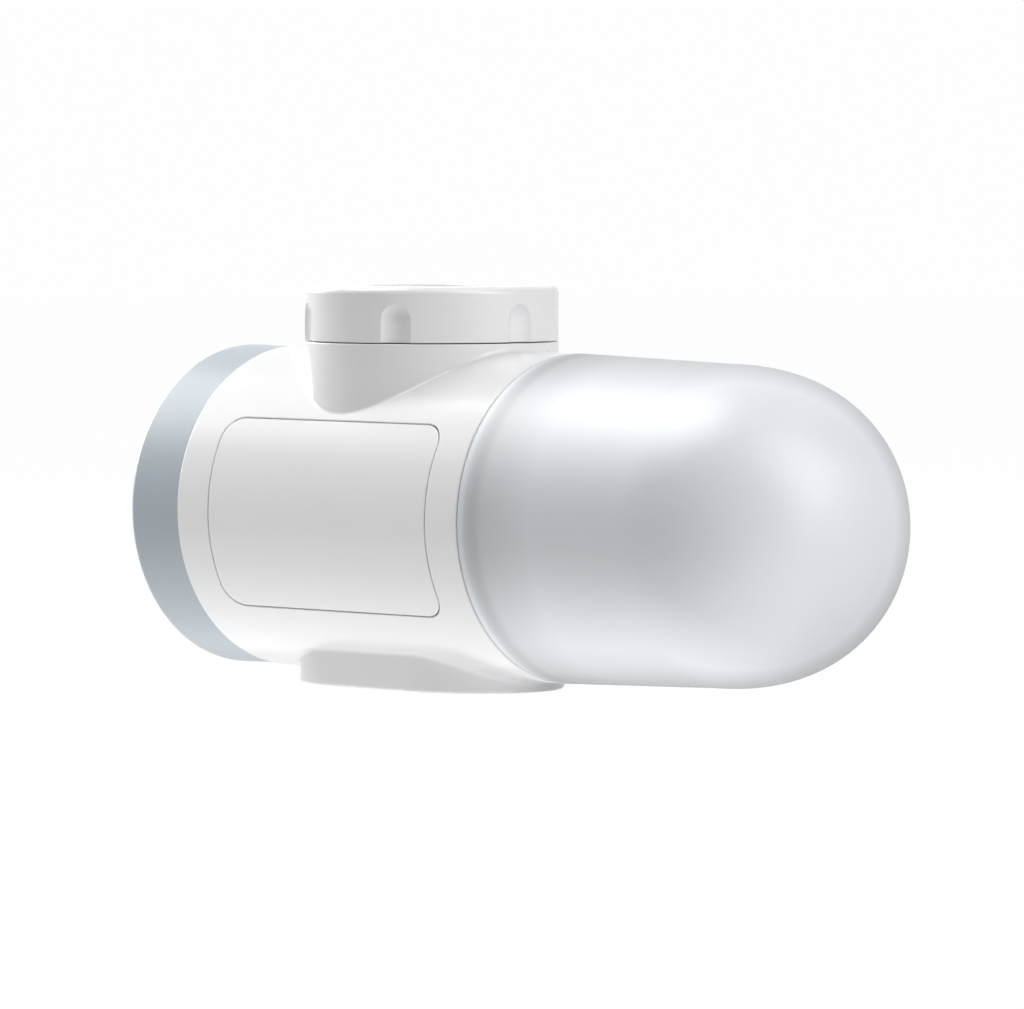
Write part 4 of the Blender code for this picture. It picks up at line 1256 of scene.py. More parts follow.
    def _chamber_fittings(self) -> Shell:
        """The cartridge socket and the two pipes that cross the filter chamber.

        Returns:
            Its patches.
        """
        shell = Shell()
        step, mouth = self.bulkhead + self.socket_step, self.bulkhead + self.socket_length
        socket = section([
            (self.bulkhead - self.bulkhead_half, 0.0),
            (self.bulkhead - self.bulkhead_half, self.socket_stem),
            (self.bulkhead + self.socket_neck, self.socket_stem, 0.8),
            (step, self.socket_cup, 0.8), (mouth, self.socket_cup, 0.5),
            (mouth, self.socket_bore, 0.4), (step, self.socket_bore, 0.4),
            (step, self.socket_hole), (self.bulkhead + self.bulkhead_half, self.socket_hole),
            (self.bulkhead + self.bulkhead_half, 0.0),
        ])
        shell.lathe(socket, Axis.BARREL)
        wall, pipe, down = self.spigot_bore + 0.5, self.inlet_pipe, self.down_pipe
        shell.lathe(section([(0.0, 0.0), (0.0, pipe), (wall, pipe), (wall, 0.0)]), Axis.INLET)
        down = section([(-wall, 0.0), (-wall, down), (-down, down), (-down, 0.0)])
        shell.lathe(down, Axis.INLET, around(48), self.down_pipe_x)
        return shell


def thread_ridge(x: Array, angle: Array, pitch: float, ends: Span) -> Array:
    """A right-hand thread on the barrel's axis, as a share of its full height.

    Args:
        x: Stations along the axis.
        angle: Angles round it.
        pitch: The thread's pitch.
        ends: Where it starts to rise and where it is gone.

    Returns:
        The shares.
    """
    fade = np.clip(x - ends[0], 0.0, 1.0) * np.clip(ends[1] - x, 0.0, 1.0)
    return np.clip(np.sin(math.tau * x / pitch + angle) * 1.6 + 0.1, 0.0, 1.0) * fade


def uneven_wall(along: Array, turn: Array, wall: RadiusLaw,
                axis: Axis = Axis.BARREL, small: Span = (1e-4, 1e-4)) -> Pair:
    """A wall round an axis whose radius changes from place to place.

    Args:
        along: Stations along the axis.
        turn: Angles round it.
        wall: Gives the radius for a station and an angle.
        axis: The axis.
        small: Steps along and round over which its slope is taken.

    Returns:
        Points and outward directions, stations by angles by three.
    """
    x, angle = np.meshgrid(along, turn, indexing="ij")
    radius = wall(x, angle)
    step, swing = small
    slope = (wall(x + step, angle) - wall(x - step, angle)) / (2 * step)
    twist = (wall(x, angle + swing) - wall(x, angle - swing)) / (2 * swing) / radius
    cosine, sine = np.cos(angle), np.sin(angle)
    points = together(x, radius * sine, radius * cosine)
    normals = unit(together(-slope, sine - twist * cosine, cosine + twist * sine))
    if axis is Axis.INLET:
        return points[..., ::-1], normals[..., ::-1]
    return points, normals


@dataclass
class CollarNut:
    """The swivel nut with six arched grip flutes and the spout's thread in its bore."""

    radius: float = 22.7
    bottom: float = 30.65
    top: float = 40.45
    top_edge: float = 1.3
    bottom_edge: float = 0.15
    lip_bore: float = 9.3
    lip_bevel: float = 0.3
    lip_top: float = 32.8
    bore: float = 12.0
    bore_edge: float = 0.6
    flutes: int = 6
    flute_half_width: float = 2.7
    flute_depth: float = 1.0
    flute_top_margin: float = 3.0
    thread_pitch: float = 1.0
    thread_height: float = 0.42
    thread_from: float = 36.9
    thread_step: float = 0.0943
    slope_steps: Span = (2e-3, 2e-4)

    def build(self) -> None:
        """Makes the nut and lets it stand for its node."""
        nut = Part("collar_nut", "nut", "white_abs", WHITE_ABS).make(
            "collar_nut_body", self._nut())
        LOG.info("collar nut: %d faces", len(nut.data.polygons))

    def _columns(self) -> Array:
        """Angles round the nut, close together over each flute.

        Returns:
            The angles.
        """
        flute = self.flute_half_width / self.radius
        near = np.linspace(-1.12 * flute, 1.12 * flute, 37)
        pitch = math.tau / self.flutes
        far = np.linspace(near[-1], pitch + near[0], 12)[1:-1]
        one = np.concatenate([near, far])
        return np.concatenate([one + pitch * k for k in range(self.flutes)])

    def _wall(self, height: Array, turn: Array) -> Array:
        """Radius of the outer wall at a height and an angle, less the flutes.

        Args:
            height: Heights on the wall.
            turn: Angles round it.

        Returns:
            The radii.
        """
        pitch = math.tau / self.flutes
        across = (turn - pitch * np.round(turn / pitch)) * self.radius
        arch = self.top - self.flute_top_margin - self.flute_half_width
        away = np.hypot(across, np.maximum(height - arch, 0.0))
        half, depth = self.flute_half_width, self.flute_depth
        curve = (half * half + depth * depth) / (2 * depth)
        hollow = np.sqrt(np.maximum(curve * curve - away * away, 0.0)) - (curve - depth)
        return self.radius - np.clip(hollow, 0.0, depth)

    def _nut(self) -> Shell:
        """The nut as one closed piece.

        Returns:
            Its patches.
        """
        shell = Shell()
        turn = self._columns()
        shoulder = self.top - self.top_edge
        arch = self.top - self.flute_top_margin - self.flute_half_width
        foot = self.bottom + self.bottom_edge
        height = np.concatenate([np.linspace(foot, arch, 8)[:-1],
                                 np.linspace(arch, shoulder - 0.6, 26), [shoulder]])
        shell.strip(*uneven_wall(height, turn, self._wall, Axis.INLET, self.slope_steps))
        cosine, sine = np.cos(turn)[None], np.sin(turn)[None]
        step = np.linspace(0.0, math.pi / 2, 5)[:, None]
        rim = self._wall(np.full((1, len(turn)), foot), turn[None])
        out = rim - self.bottom_edge + self.bottom_edge * np.cos(step)
        shell.strip(together(out * cosine, out * sine, foot - self.bottom_edge * np.sin(step)),
                    together(np.cos(step) * cosine, np.cos(step) * sine, -np.sin(step)))
        inner = np.full_like(rim, self.lip_bore + self.lip_bevel)
        ring = np.concatenate([rim - self.bottom_edge, inner])
        shell.strip(together(ring * cosine, ring * sine, self.bottom),
                    np.array([0.0, 0.0, -1.0]))
        top = section([
            (shoulder - 5.0, self.radius), (self.top, self.radius, self.top_edge),
            (self.top, self.bore, self.bore_edge), (self.top - 3 * self.bore_edge, self.bore),
        ], -1, steps=10)[1:-1]
        shell.lathe(top, Axis.INLET, turn)
        first, step = self.top - self.bore_edge, self.thread_step
        bore, inward = uneven_wall(np.arange(first, self.thread_from - 0.01, -step), turn,
                                   self._thread, Axis.INLET, self.slope_steps)
        shell.strip(bore, -inward)
        end = first - step * math.floor((first - self.thread_from + 0.01) / step)
        low = section([
            (end, self.bore), (self.lip_top, self.bore), (self.lip_top, self.lip_bore),
            (self.bottom + self.lip_bevel, self.lip_bore),
            (self.bottom, self.lip_bore + self.lip_bevel),
        ], -1)
        shell.lathe(low, Axis.INLET, turn)
        return shell

    def _thread(self, height: Array, turn: Array) -> Array:
        """Radius of the bore with its thread, fading out at both ends.

        Args:
            height: Heights in the bore.
            turn: Angles round it.

        Returns:
            The radii.
        """
        wave = np.sin(math.tau * height / self.thread_pitch - turn)
        fade = np.clip((self.top - 1.3 - height) / 0.8, 0.0, 1.0)
        fade = fade * np.clip((height - self.thread_from - 0.1) / 0.5, 0.0, 1.0)
        return self.bore - self.thread_height * np.clip(0.5 + 0.9 * wave, 0.0, 1.0) * fade


@dataclass
class SelectorKnob:
    """The blue-grey end knob: a plain ring outside, and a dished face with a finger bar."""

    radius: float = BARREL_RADIUS
    left: float = -48.6
    right: float = -35.9
    edge: float = 1.2
    back_radius: float = 28.75
    back_edge: float = 0.06
    rim: float = 26.0
    rim_edge: float = 0.6
    bar_top: float = 0.7
    plate: float = 25.75
    dish_depth: float = 5.6
    dish_arc: float = 24.9
    dish_draft: float = 2.2
    bar_half: float = 3.5
    bar_draft: float = 1.0
    corner: float = 2.6
    top_edge: float = 0.5
    floor_edge: float = 1.1
    cap_bore: float = 3.0
    cap_lip: float = 0.2
    cap_depth: float = 3.3
    cap_radius: float = 2.75
    cap_thickness: float = 1.1
    skirt_bore: float = 26.4
    inside: float = -40.6
    hub: float = 8.5

    def build(self) -> None:
        """Makes the knob and its screw cap."""
        knob = Part("selector_knob", "selector", "blue_grey_abs", BLUE_GREY_ABS).make(
            "selector_knob_body", self._knob())
        Part("knob_screw_cap", "selector", "blue_grey_abs", BLUE_GREY_ABS).make(
            "screw_plug", self._cap())
        LOG.info("selector knob: %d faces", len(knob.data.polygons))

    def _recess(self) -> tuple[Array, Array, Array]:
        """One of the two D-shaped recesses beside the bar.

        Returns:
            The outline at the bar's top, its outward directions, and how far each point
            draws in on the way down.
        """
        corner, chord, arc_radius = self.corner, self.bar_half, self.dish_arc
        centre_y = chord + corner
        centre_z = math.sqrt((arc_radius - corner) ** 2 - centre_y ** 2)
        lean = math.atan2(centre_z, centre_y)
        sweep = np.linspace(-lean, lean, 65)
        upper = np.linspace(lean, math.pi, 15)
        lower = np.linspace(math.pi, math.tau - lean, 15)
        straight = np.linspace(1.0, -1.0, 17)[1:-1] * centre_z
        places = [arc_radius * bearing(sweep),
                  np.array([centre_y, centre_z]) + corner * bearing(upper)[1:],
                  together(chord, straight),
                  np.array([centre_y, -centre_z]) + corner * bearing(lower)[:-1]]
        turns = np.concatenate([sweep, upper[1:], math.pi + 0 * straight, lower[:-1]])
        out = bearing(turns)
        share = np.clip((-np.cos(turns) + 1.0) / 2.0, 0.0, 1.0)
        weight = self.dish_draft * (1 - share ** 2) + self.bar_draft * share ** 2
        return np.concatenate(places), out, weight

    def _knob(self) -> Shell:
        """The knob as one closed piece.

        Returns:
            Its patches.
        """
        shell = Shell()
        outside = section([
            (self.left + self.bar_top, self.plate),
            (self.left, self.rim - 0.1, self.rim_edge * 0.4),
            (self.left, self.radius, self.edge),
            (self.right, self.back_radius, self.back_edge), (self.right, self.skirt_bore, 0.3),
            (self.inside, self.skirt_bore, 0.5), (self.inside, self.hub, 0.5),
            (self.right, self.hub), (self.right, 0.0),
        ], steps=8)
        shell.lathe(outside, Axis.BARREL)
        face = Level((self.left + self.bar_top, 0.0, 0.0), (0.0, 1.0, 0.0), (0.0, 0.0, 1.0),
                     (-1.0, 0.0, 0.0))
        rim = self.plate * bearing(ROUND_TURN)[:, ::-1]
        recess, out, weight = self._recess()
        deep = self.dish_depth - self.bar_top
        holes = []
        for side in (1.0, -1.0):
            loop, away = recess * [side, 1.0], out * [side, 1.0]
            wall = section([(3 * self.top_edge / 2.0, 0.0), (0.0, 0.0, self.top_edge / 2.0),
                            (-1.0, -deep, self.floor_edge / 2.0),
                            (-1.0 - 3 * self.floor_edge, -deep)], 1, steps=8)[1:-1]
            shell.skirt(loop, away, wall, face, weight)
            first = wall[0].points[0, 0] * weight
            last = wall[-1].points[-1, 0] * weight
            holes.append(loop + away * first[:, None])
            shell.fill([loop + away * last[:, None]], -deep, face)
        bore, bore_out = circle(self.cap_bore, count=48)
        holes.append(bore + bore_out * self.cap_lip)
        shell.skirt(bore, bore_out, lipped(self.cap_lip, self.cap_depth), face)
        shell.fill([bore], -self.cap_depth, face)
        shell.fill([rim, *holes], 0.0, face)
        return shell

    def _cap(self) -> Shell:
        """The small plug that hides the knob's screw.

        Returns:
            Its patches.
        """
        shell = Shell()
        low, high = self.left + self.bar_top, self.left + self.bar_top + self.cap_thickness
        shell.lathe(section([(low, 0.0), (low, self.cap_radius, 0.3),
                             (high, self.cap_radius), (high, 0.0)]),
                    Axis.BARREL, around(48))
        return shell


@dataclass
class FilterCup:
    """The frosted cup: a slightly tapered wall, a full dome, and a thread in its mouth."""

    mouth: float = 36.5
    mouth_radius: float = 28.95
    shoulder_radius: float = 27.9
    taper: float = 36.6
    dome: float = 31.9
    dome_power: float = 2.36
    wall: float = 2.6
    rebate_radius: float = 27.3
    rebate_end: float = 38.6
    bore: float = 26.2
    thread_end: float = 49.5
    thread_pitch: float = 3.0
    thread_height: float = 0.3
    edge: float = 0.3

    def build(self) -> None:
        """Makes the cup and lets it stand for its node."""
        cup = Part("filter_cup", "cup", "frosted_cup", FROSTED_COPOLYESTER).make(
            "filter_cup_body", self._cup())
        LOG.info("filter cup: %d faces", len(cup.data.polygons))

    def _dome(self, inset: float, steps: int) -> Array:
        """Profile of the dome from its foot to its tip, drawn in by a wall.

        Args:
            inset: Thickness of the wall.
            steps: Number of points.

        Returns:
            Rows of (along, out).
        """
        turn = np.linspace(0.0, math.pi / 2, steps)
        power = 2.0 / self.dome_power
        along = (self.dome - inset) * np.sin(turn) ** power
        out = (self.shoulder_radius - inset) * np.maximum(np.cos(turn), 0.0) ** power
        return together(self.mouth + self.taper + along, out)

    def _cup(self) -> Shell:
        """The cup as one closed piece.

        Returns:
            Its patches.
        """
        shell = Shell()
        start = np.linspace(0.0, 1.0, 24)[:, None]
        first = np.array([self.mouth + self.edge, self.mouth_radius])
        foot = np.array([self.mouth + self.taper, self.shoulder_radius])
        side = first * (1 - start) + foot * start
        outer = np.concatenate([side[:-1], self._dome(0.0, 72)])
        run = curve_run(outer)
        run.normals[-1] = (1.0, 0.0)
        shell.lathe([run], Axis.BARREL, BARREL_TURN)
        rim = section([
            (self.rebate_end, self.bore), (self.rebate_end, self.rebate_radius, 0.2),
            (self.mouth, self.rebate_radius, 0.25), (self.mouth, self.mouth_radius, self.edge),
            (self.mouth + 2 * self.edge, self.mouth_radius),
        ])[:-1]
        shell.lathe(rim, Axis.BARREL, BARREL_TURN)
        self._thread(shell)
        inner = self._dome(self.wall, 48)
        joint = np.array([[self.thread_end, self.bore],
                          [self.thread_end + 1.4, self.bore - 0.25]])
        hollow = curve_run(np.concatenate([joint, inner]), -1)
        hollow.normals[-1] = (-1.0, 0.0)
        shell.lathe([hollow], Axis.BARREL, BARREL_TURN)
        return shell

    def _mouth_wall(self, x: Array, angle: Array) -> Array:
        """Radius of the mouth's bore with its thread, which fades out at both ends.

        Args:
            x: Stations along the axis.
            angle: Angles round it.

        Returns:
            The radii.
        """
        ends = (self.rebate_end + 0.8, self.thread_end - 0.6)
        ridge = thread_ridge(x, angle + math.pi, self.thread_pitch, ends)
        return self.bore - self.thread_height * ridge

    def _thread(self, shell: Shell) -> None:
        """The mouth's bore with the thread that takes the housing's.

        Args:
            shell: Takes the patches.
        """
        along = np.linspace(self.rebate_end, self.thread_end, 64)
        points, normals = uneven_wall(along, BARREL_TURN, self._mouth_wall)
        shell.strip(points, -normals)


class Pattern:
    """A geometry-node tree with named inputs, whose result becomes a plain mesh."""

    def __init__(self, name: str, inputs: dict[str, str]) -> None:
        """Makes the tree with its inputs.

        Args:
            name: Name of the tree.
            inputs: Input name to its kind: Float, Int or Material.
        """
        self.tree = bpy.data.node_groups.new(name, "GeometryNodeTree")
        for label, kind in {"Geometry": "Geometry", **inputs, "Material": "Material"}.items():
            self.tree.interface.new_socket(label, in_out="INPUT",
                                           socket_type=f"NodeSocket{kind}")
        self.tree.interface.new_socket("Geometry", in_out="OUTPUT",
                                       socket_type="NodeSocketGeometry")
        self.given = self.tree.nodes.new("NodeGroupInput").outputs

    def close(self, shape: Feed) -> None:
        """Ends the tree in real faces with their material.

        Args:
            shape: The geometry that it makes.
        """
        real = add_node(self.tree, "GeometryNodeRealizeInstances", None, {0: shape})
        dressed = add_node(self.tree, "GeometryNodeSetMaterial", None,
                           {"Geometry": real, "Material": self.given["Material"]})
        add_node(self.tree, "NodeGroupOutput", None, {0: dressed})

    def make(self, name: str, part: Part, sizes: dict,
             places: Sequence[Sequence[float]] = ()) -> Piece:
        """Runs the tree and keeps its result as a plain mesh.

        Args:
            name: Name of the piece.
            part: What it belongs to.
            sizes: Input name to its value, with lengths in millimetres.
            places: Points that the tree starts from, in millimetres.

        Returns:
            The piece, at the origin.
        """
        start = bpy.data.meshes.new(f"{name}_places")
        start.from_pydata([[length * METRES for length in place] for place in places], [], [])
        piece = add_object(name, start)
        modifier = piece.modifiers.new("pattern", "NODES")
        modifier.node_group = self.tree
        for item in self.tree.interface.items_tree:
            if item.in_out == "INPUT" and item.name in sizes:
                size = sizes[item.name]
                modifier[item.identifier] = size * METRES if isinstance(size, float) else size
            elif item.in_out == "INPUT" and item.name == "Material":
                modifier[item.identifier] = part.finish.get()
        graph = bpy.context.evaluated_depsgraph_get()
        plain = bpy.data.meshes.new_from_object(piece.evaluated_get(graph))
        piece.modifiers.remove(modifier)
        piece.data = plain
        bpy.data.meshes.remove(start)
        if plain.materials[0] is None:
            plain.materials.pop(index=0)
        return part.claim(piece)


def wire_cloth() -> Pattern:
    """Plain-woven wire cloth that fills a disc.

    Returns:
        The tree.
    """
    cloth = Pattern("wire_cloth", {"Reach": "Float", "Pitch": "Float", "Wire": "Float",
                                   "Height": "Float"})
    tree, given = cloth.tree, cloth.given
    add = partial(add_node, tree)
    rows = add("ShaderNodeMath", None, {0: given["Reach"], 1: given["Pitch"]},
               operation="DIVIDE")
    half = add("ShaderNodeMath", None, {0: rows}, operation="FLOOR")
    count = add("ShaderNodeMath", {1: 2.0, 2: 1.0}, {0: half}, operation="MULTIPLY_ADD")
    outer = add("ShaderNodeMath", None, {0: half, 1: given["Pitch"]}, operation="MULTIPLY")
    first = add("ShaderNodeMath", {1: -1.0}, {0: outer}, operation="MULTIPLY")
    start = add("ShaderNodeCombineXYZ", None, {"Y": first})
    step = add("ShaderNodeCombineXYZ", None, {"Y": given["Pitch"]})
    line = add("GeometryNodeMeshLine", None,
               {"Count": count, "Start Location": start, "Offset": step}, mode="OFFSET")
    place = add("GeometryNodeInputPosition")
    parts = add("ShaderNodeSeparateXYZ", None, {0: place})
    share = add("ShaderNodeMath", None, {0: parts.outputs["Y"], 1: given["Reach"]},
                operation="DIVIDE")
    angle = add("ShaderNodeMath", None, {0: share}, operation="ARCSINE")
    cosine = add("ShaderNodeMath", None, {0: angle}, operation="COSINE")
    chord = add("ShaderNodeMath", None, {0: cosine, 1: given["Reach"]}, operation="MULTIPLY")
    scale = add("ShaderNodeCombineXYZ", {"Y": 1.0, "Z": 1.0}, {"X": chord})
    wire = add("GeometryNodeCurvePrimitiveLine",
               {"Start": (-1.0, 0.0, 0.0), "End": (1.0, 0.0, 0.0)})
    spread = add("GeometryNodeInstanceOnPoints", None,
                 {"Points": line, "Instance": wire, "Scale": scale})
    wires = add("GeometryNodeRealizeInstances", None, {0: spread})
    short = add("ShaderNodeMath", {1: 0.25}, {0: given["Pitch"]}, operation="MULTIPLY")
    fine = add("GeometryNodeResampleCurve", None,
               {"Curve": wires, "Length": short}, mode="LENGTH")
    rise = given["Wire"]
    for across in ("X", "Y"):
        turns = add("ShaderNodeMath", None,
                    {0: parts.outputs[across], 1: given["Pitch"]}, operation="DIVIDE")
        turn = add("ShaderNodeMath", {1: math.pi}, {0: turns}, operation="MULTIPLY")
        wave = add("ShaderNodeMath", None, {0: turn}, operation="COSINE")
        rise = add("ShaderNodeMath", None, {0: wave, 1: rise}, operation="MULTIPLY")
    offset = add("ShaderNodeCombineXYZ", None, {"Z": rise})
    waved = add("GeometryNodeSetPosition", None, {"Geometry": fine, "Offset": offset})
    profile = add("GeometryNodeCurvePrimitiveCircle", {"Resolution": 7},
                  {"Radius": given["Wire"]})
    weft = add("GeometryNodeCurveToMesh", {"Fill Caps": True},
               {"Curve": waved, "Profile Curve": profile})
    warp = add("GeometryNodeTransform", {"Rotation": (math.pi, 0.0, math.pi / 2)},
               {"Geometry": weft})
    both = add("GeometryNodeJoinGeometry", None, {0: [weft, warp]})
    smooth = add("GeometryNodeSetShadeSmooth", None, {0: both})
    lift = add("ShaderNodeCombineXYZ", None, {"Z": given["Height"]})
    placed = add("GeometryNodeTransform", None, {"Geometry": smooth, "Translation": lift})
    cloth.close(placed)
    return cloth


def walled_cells() -> Pattern:
    """A short walled tube, round or with flat sides, on each of the given places.

    Returns:
        The tree.
    """
    cells = Pattern("walled_cells", {"Cell": "Float", "Sides": "Int", "Wall": "Float",
                                     "Depth": "Float"})
    tree, given = cells.tree, cells.given
    add = partial(add_node, tree)
    path = add("GeometryNodeCurvePrimitiveCircle", None,
               {"Resolution": given["Sides"], "Radius": given["Cell"]})
    profile = add("GeometryNodeCurvePrimitiveQuadrilateral", None,
                  {"Width": given["Wall"], "Height": given["Depth"]})
    tube = add("GeometryNodeCurveToMesh", None, {"Curve": path, "Profile Curve": profile})
    turned = add("GeometryNodeTransform", {"Rotation": (0.0, 0.0, math.pi / 6)},
                 {"Geometry": tube})
    spread = add("GeometryNodeInstanceOnPoints", None,
                 {"Points": given["Geometry"], "Instance": turned})
    cells.close(spread)
    return cells


def ring_of_ribs() -> Pattern:
    """Half-round grip ribs, evenly round the barrel's axis.

    Returns:
        The tree.
    """
    ribs = Pattern("ring_of_ribs", {"Count": "Int", "Radius": "Float", "Rib": "Float",
                                    "Length": "Float", "Along": "Float", "Height": "Float"})
    tree, given = ribs.tree, ribs.given
    add = partial(add_node, tree)
    ring = add("GeometryNodeMeshCircle", None,
               {"Vertices": given["Count"], "Radius": given["Radius"]})
    rib = add("GeometryNodeMeshCylinder", {"Vertices": 10},
              {"Radius": given["Rib"], "Depth": given["Length"]})
    smooth = add("GeometryNodeSetShadeSmooth", {"Shade Smooth": True}, {0: rib})
    spread = add("GeometryNodeInstanceOnPoints", None, {"Points": ring, "Instance": smooth})
    there = add("ShaderNodeCombineXYZ", None, {"X": given["Along"], "Z": given["Height"]})
    placed = add("GeometryNodeTransform", {"Rotation": (0.0, math.pi / 2, 0.0)},
                 {"Geometry": spread, "Translation": there})
    ribs.close(placed)
    return ribs


def hexagon_grid(pitch: float, reach: float, centre: Span) -> Array:
    """Places on a hexagonal grid within a circle, in rows along the barrel.

    Args:
        pitch: Distance between neighbours.
        reach: Radius of the circle.
        centre: Its centre, which holds the first place.

    Returns:
        Rows of (along, across).
    """
    rows = math.ceil(reach / (pitch * math.sqrt(0.75)))
    across = math.ceil(reach / pitch) + 1
    places = [((column + 0.5 * (row % 2)) * pitch, row * pitch * math.sqrt(0.75))
              for row in range(-rows, rows + 1) for column in range(-across, across + 1)]
    return np.array([place for place in places if math.hypot(*place) <= reach]) + centre


@dataclass
class InletFittings:
    """What the tap's spout meets: the flanged stem, the washer and the wire strainer."""

    stem_bore: float = 6.0
    stem_radius: float = 9.0
    stem_foot: float = 19.75
    seal_height: float = 4.5
    seal_half: float = 1.0
    seal_depth: float = 1.7
    flange_radius: float = 11.4
    flange_bottom: float = 33.1
    flange_top: float = 34.5
    strainer_seat: float = 8.0
    strainer_radius: float = 7.7
    strainer_bottom: float = 33.7
    strainer_thickness: float = 0.5
    washer_bottom: float = 34.8
    washer_top: float = 36.4
    washer_bore: float = 7.2
    wire: float = 0.11
    wire_pitch: float = 0.62

    def build(self) -> None:
        """Makes the three pieces."""
        stem = Part("inlet_stem", "housing", "acetal", NATURAL_ACETAL)
        groove, half = self.stem_foot + self.seal_height, self.seal_half
        floor = self.stem_radius - self.seal_depth
        stem.turned("inlet_stem_body", Axis.INLET, [
            (self.stem_foot, self.stem_bore, 0.3), (self.stem_foot, self.stem_radius, 0.3),
            (groove - half, self.stem_radius), (groove - half, floor), (groove + half, floor),
            (groove + half, self.stem_radius), (self.flange_bottom, self.stem_radius),
            (self.flange_bottom, self.flange_radius, 0.2),
            (self.flange_top, self.flange_radius, 0.3),
            (self.flange_top, self.strainer_seat, 0.2),
            (self.strainer_bottom - 0.3, self.strainer_seat),
            (self.strainer_bottom - 0.3, self.stem_bore, 0.2),
        ])
        washer = Part("inlet_gasket", "housing", "rubber", NITRILE_RUBBER)
        washer.turned("washer", Axis.INLET, self._washer())
        self._strainer()
        LOG.info("inlet fittings: stem, washer and strainer")

    def _washer(self) -> list[Corner]:
        """The washer's section: flat, with shallow sealing grooves in its top.

        Returns:
            The corners.
        """
        deep, low = 0.2, self.washer_bottom
        corners: list[Corner] = [(low, self.washer_bore, 0.25),
                                 (low, self.flange_radius, 0.25),
                                 (self.washer_top, self.flange_radius, 0.25)]
        for groove in (10.2, 9.3, 8.4):
            corners += [(self.washer_top, groove + 0.3, 0.05),
                        (self.washer_top - deep, groove + 0.1, 0.05),
                        (self.washer_top - deep, groove - 0.1, 0.05),
                        (self.washer_top, groove - 0.3, 0.05)]
        return [*corners, (self.washer_top, self.washer_bore, 0.25)]

    def _strainer(self) -> None:
        """The strainer: wire cloth gripped in a thin rim."""
        part = Part("inlet_strainer", "housing", "stainless", STAINLESS_STEEL)
        low, high = self.strainer_bottom, self.strainer_bottom + self.strainer_thickness
        grip = self.strainer_radius - 0.8
        part.turned("strainer_rim", Axis.INLET, [
            (low, grip, 0.15), (low, self.strainer_radius, 0.15),
            (high, self.strainer_radius, 0.15), (high, grip, 0.15),
        ])
        wire_cloth().make("strainer_cloth", part, {
            "Reach": grip + 0.3, "Pitch": self.wire_pitch, "Wire": self.wire,
            "Height": (low + high) / 2 + AXIS_HEIGHT,
        })


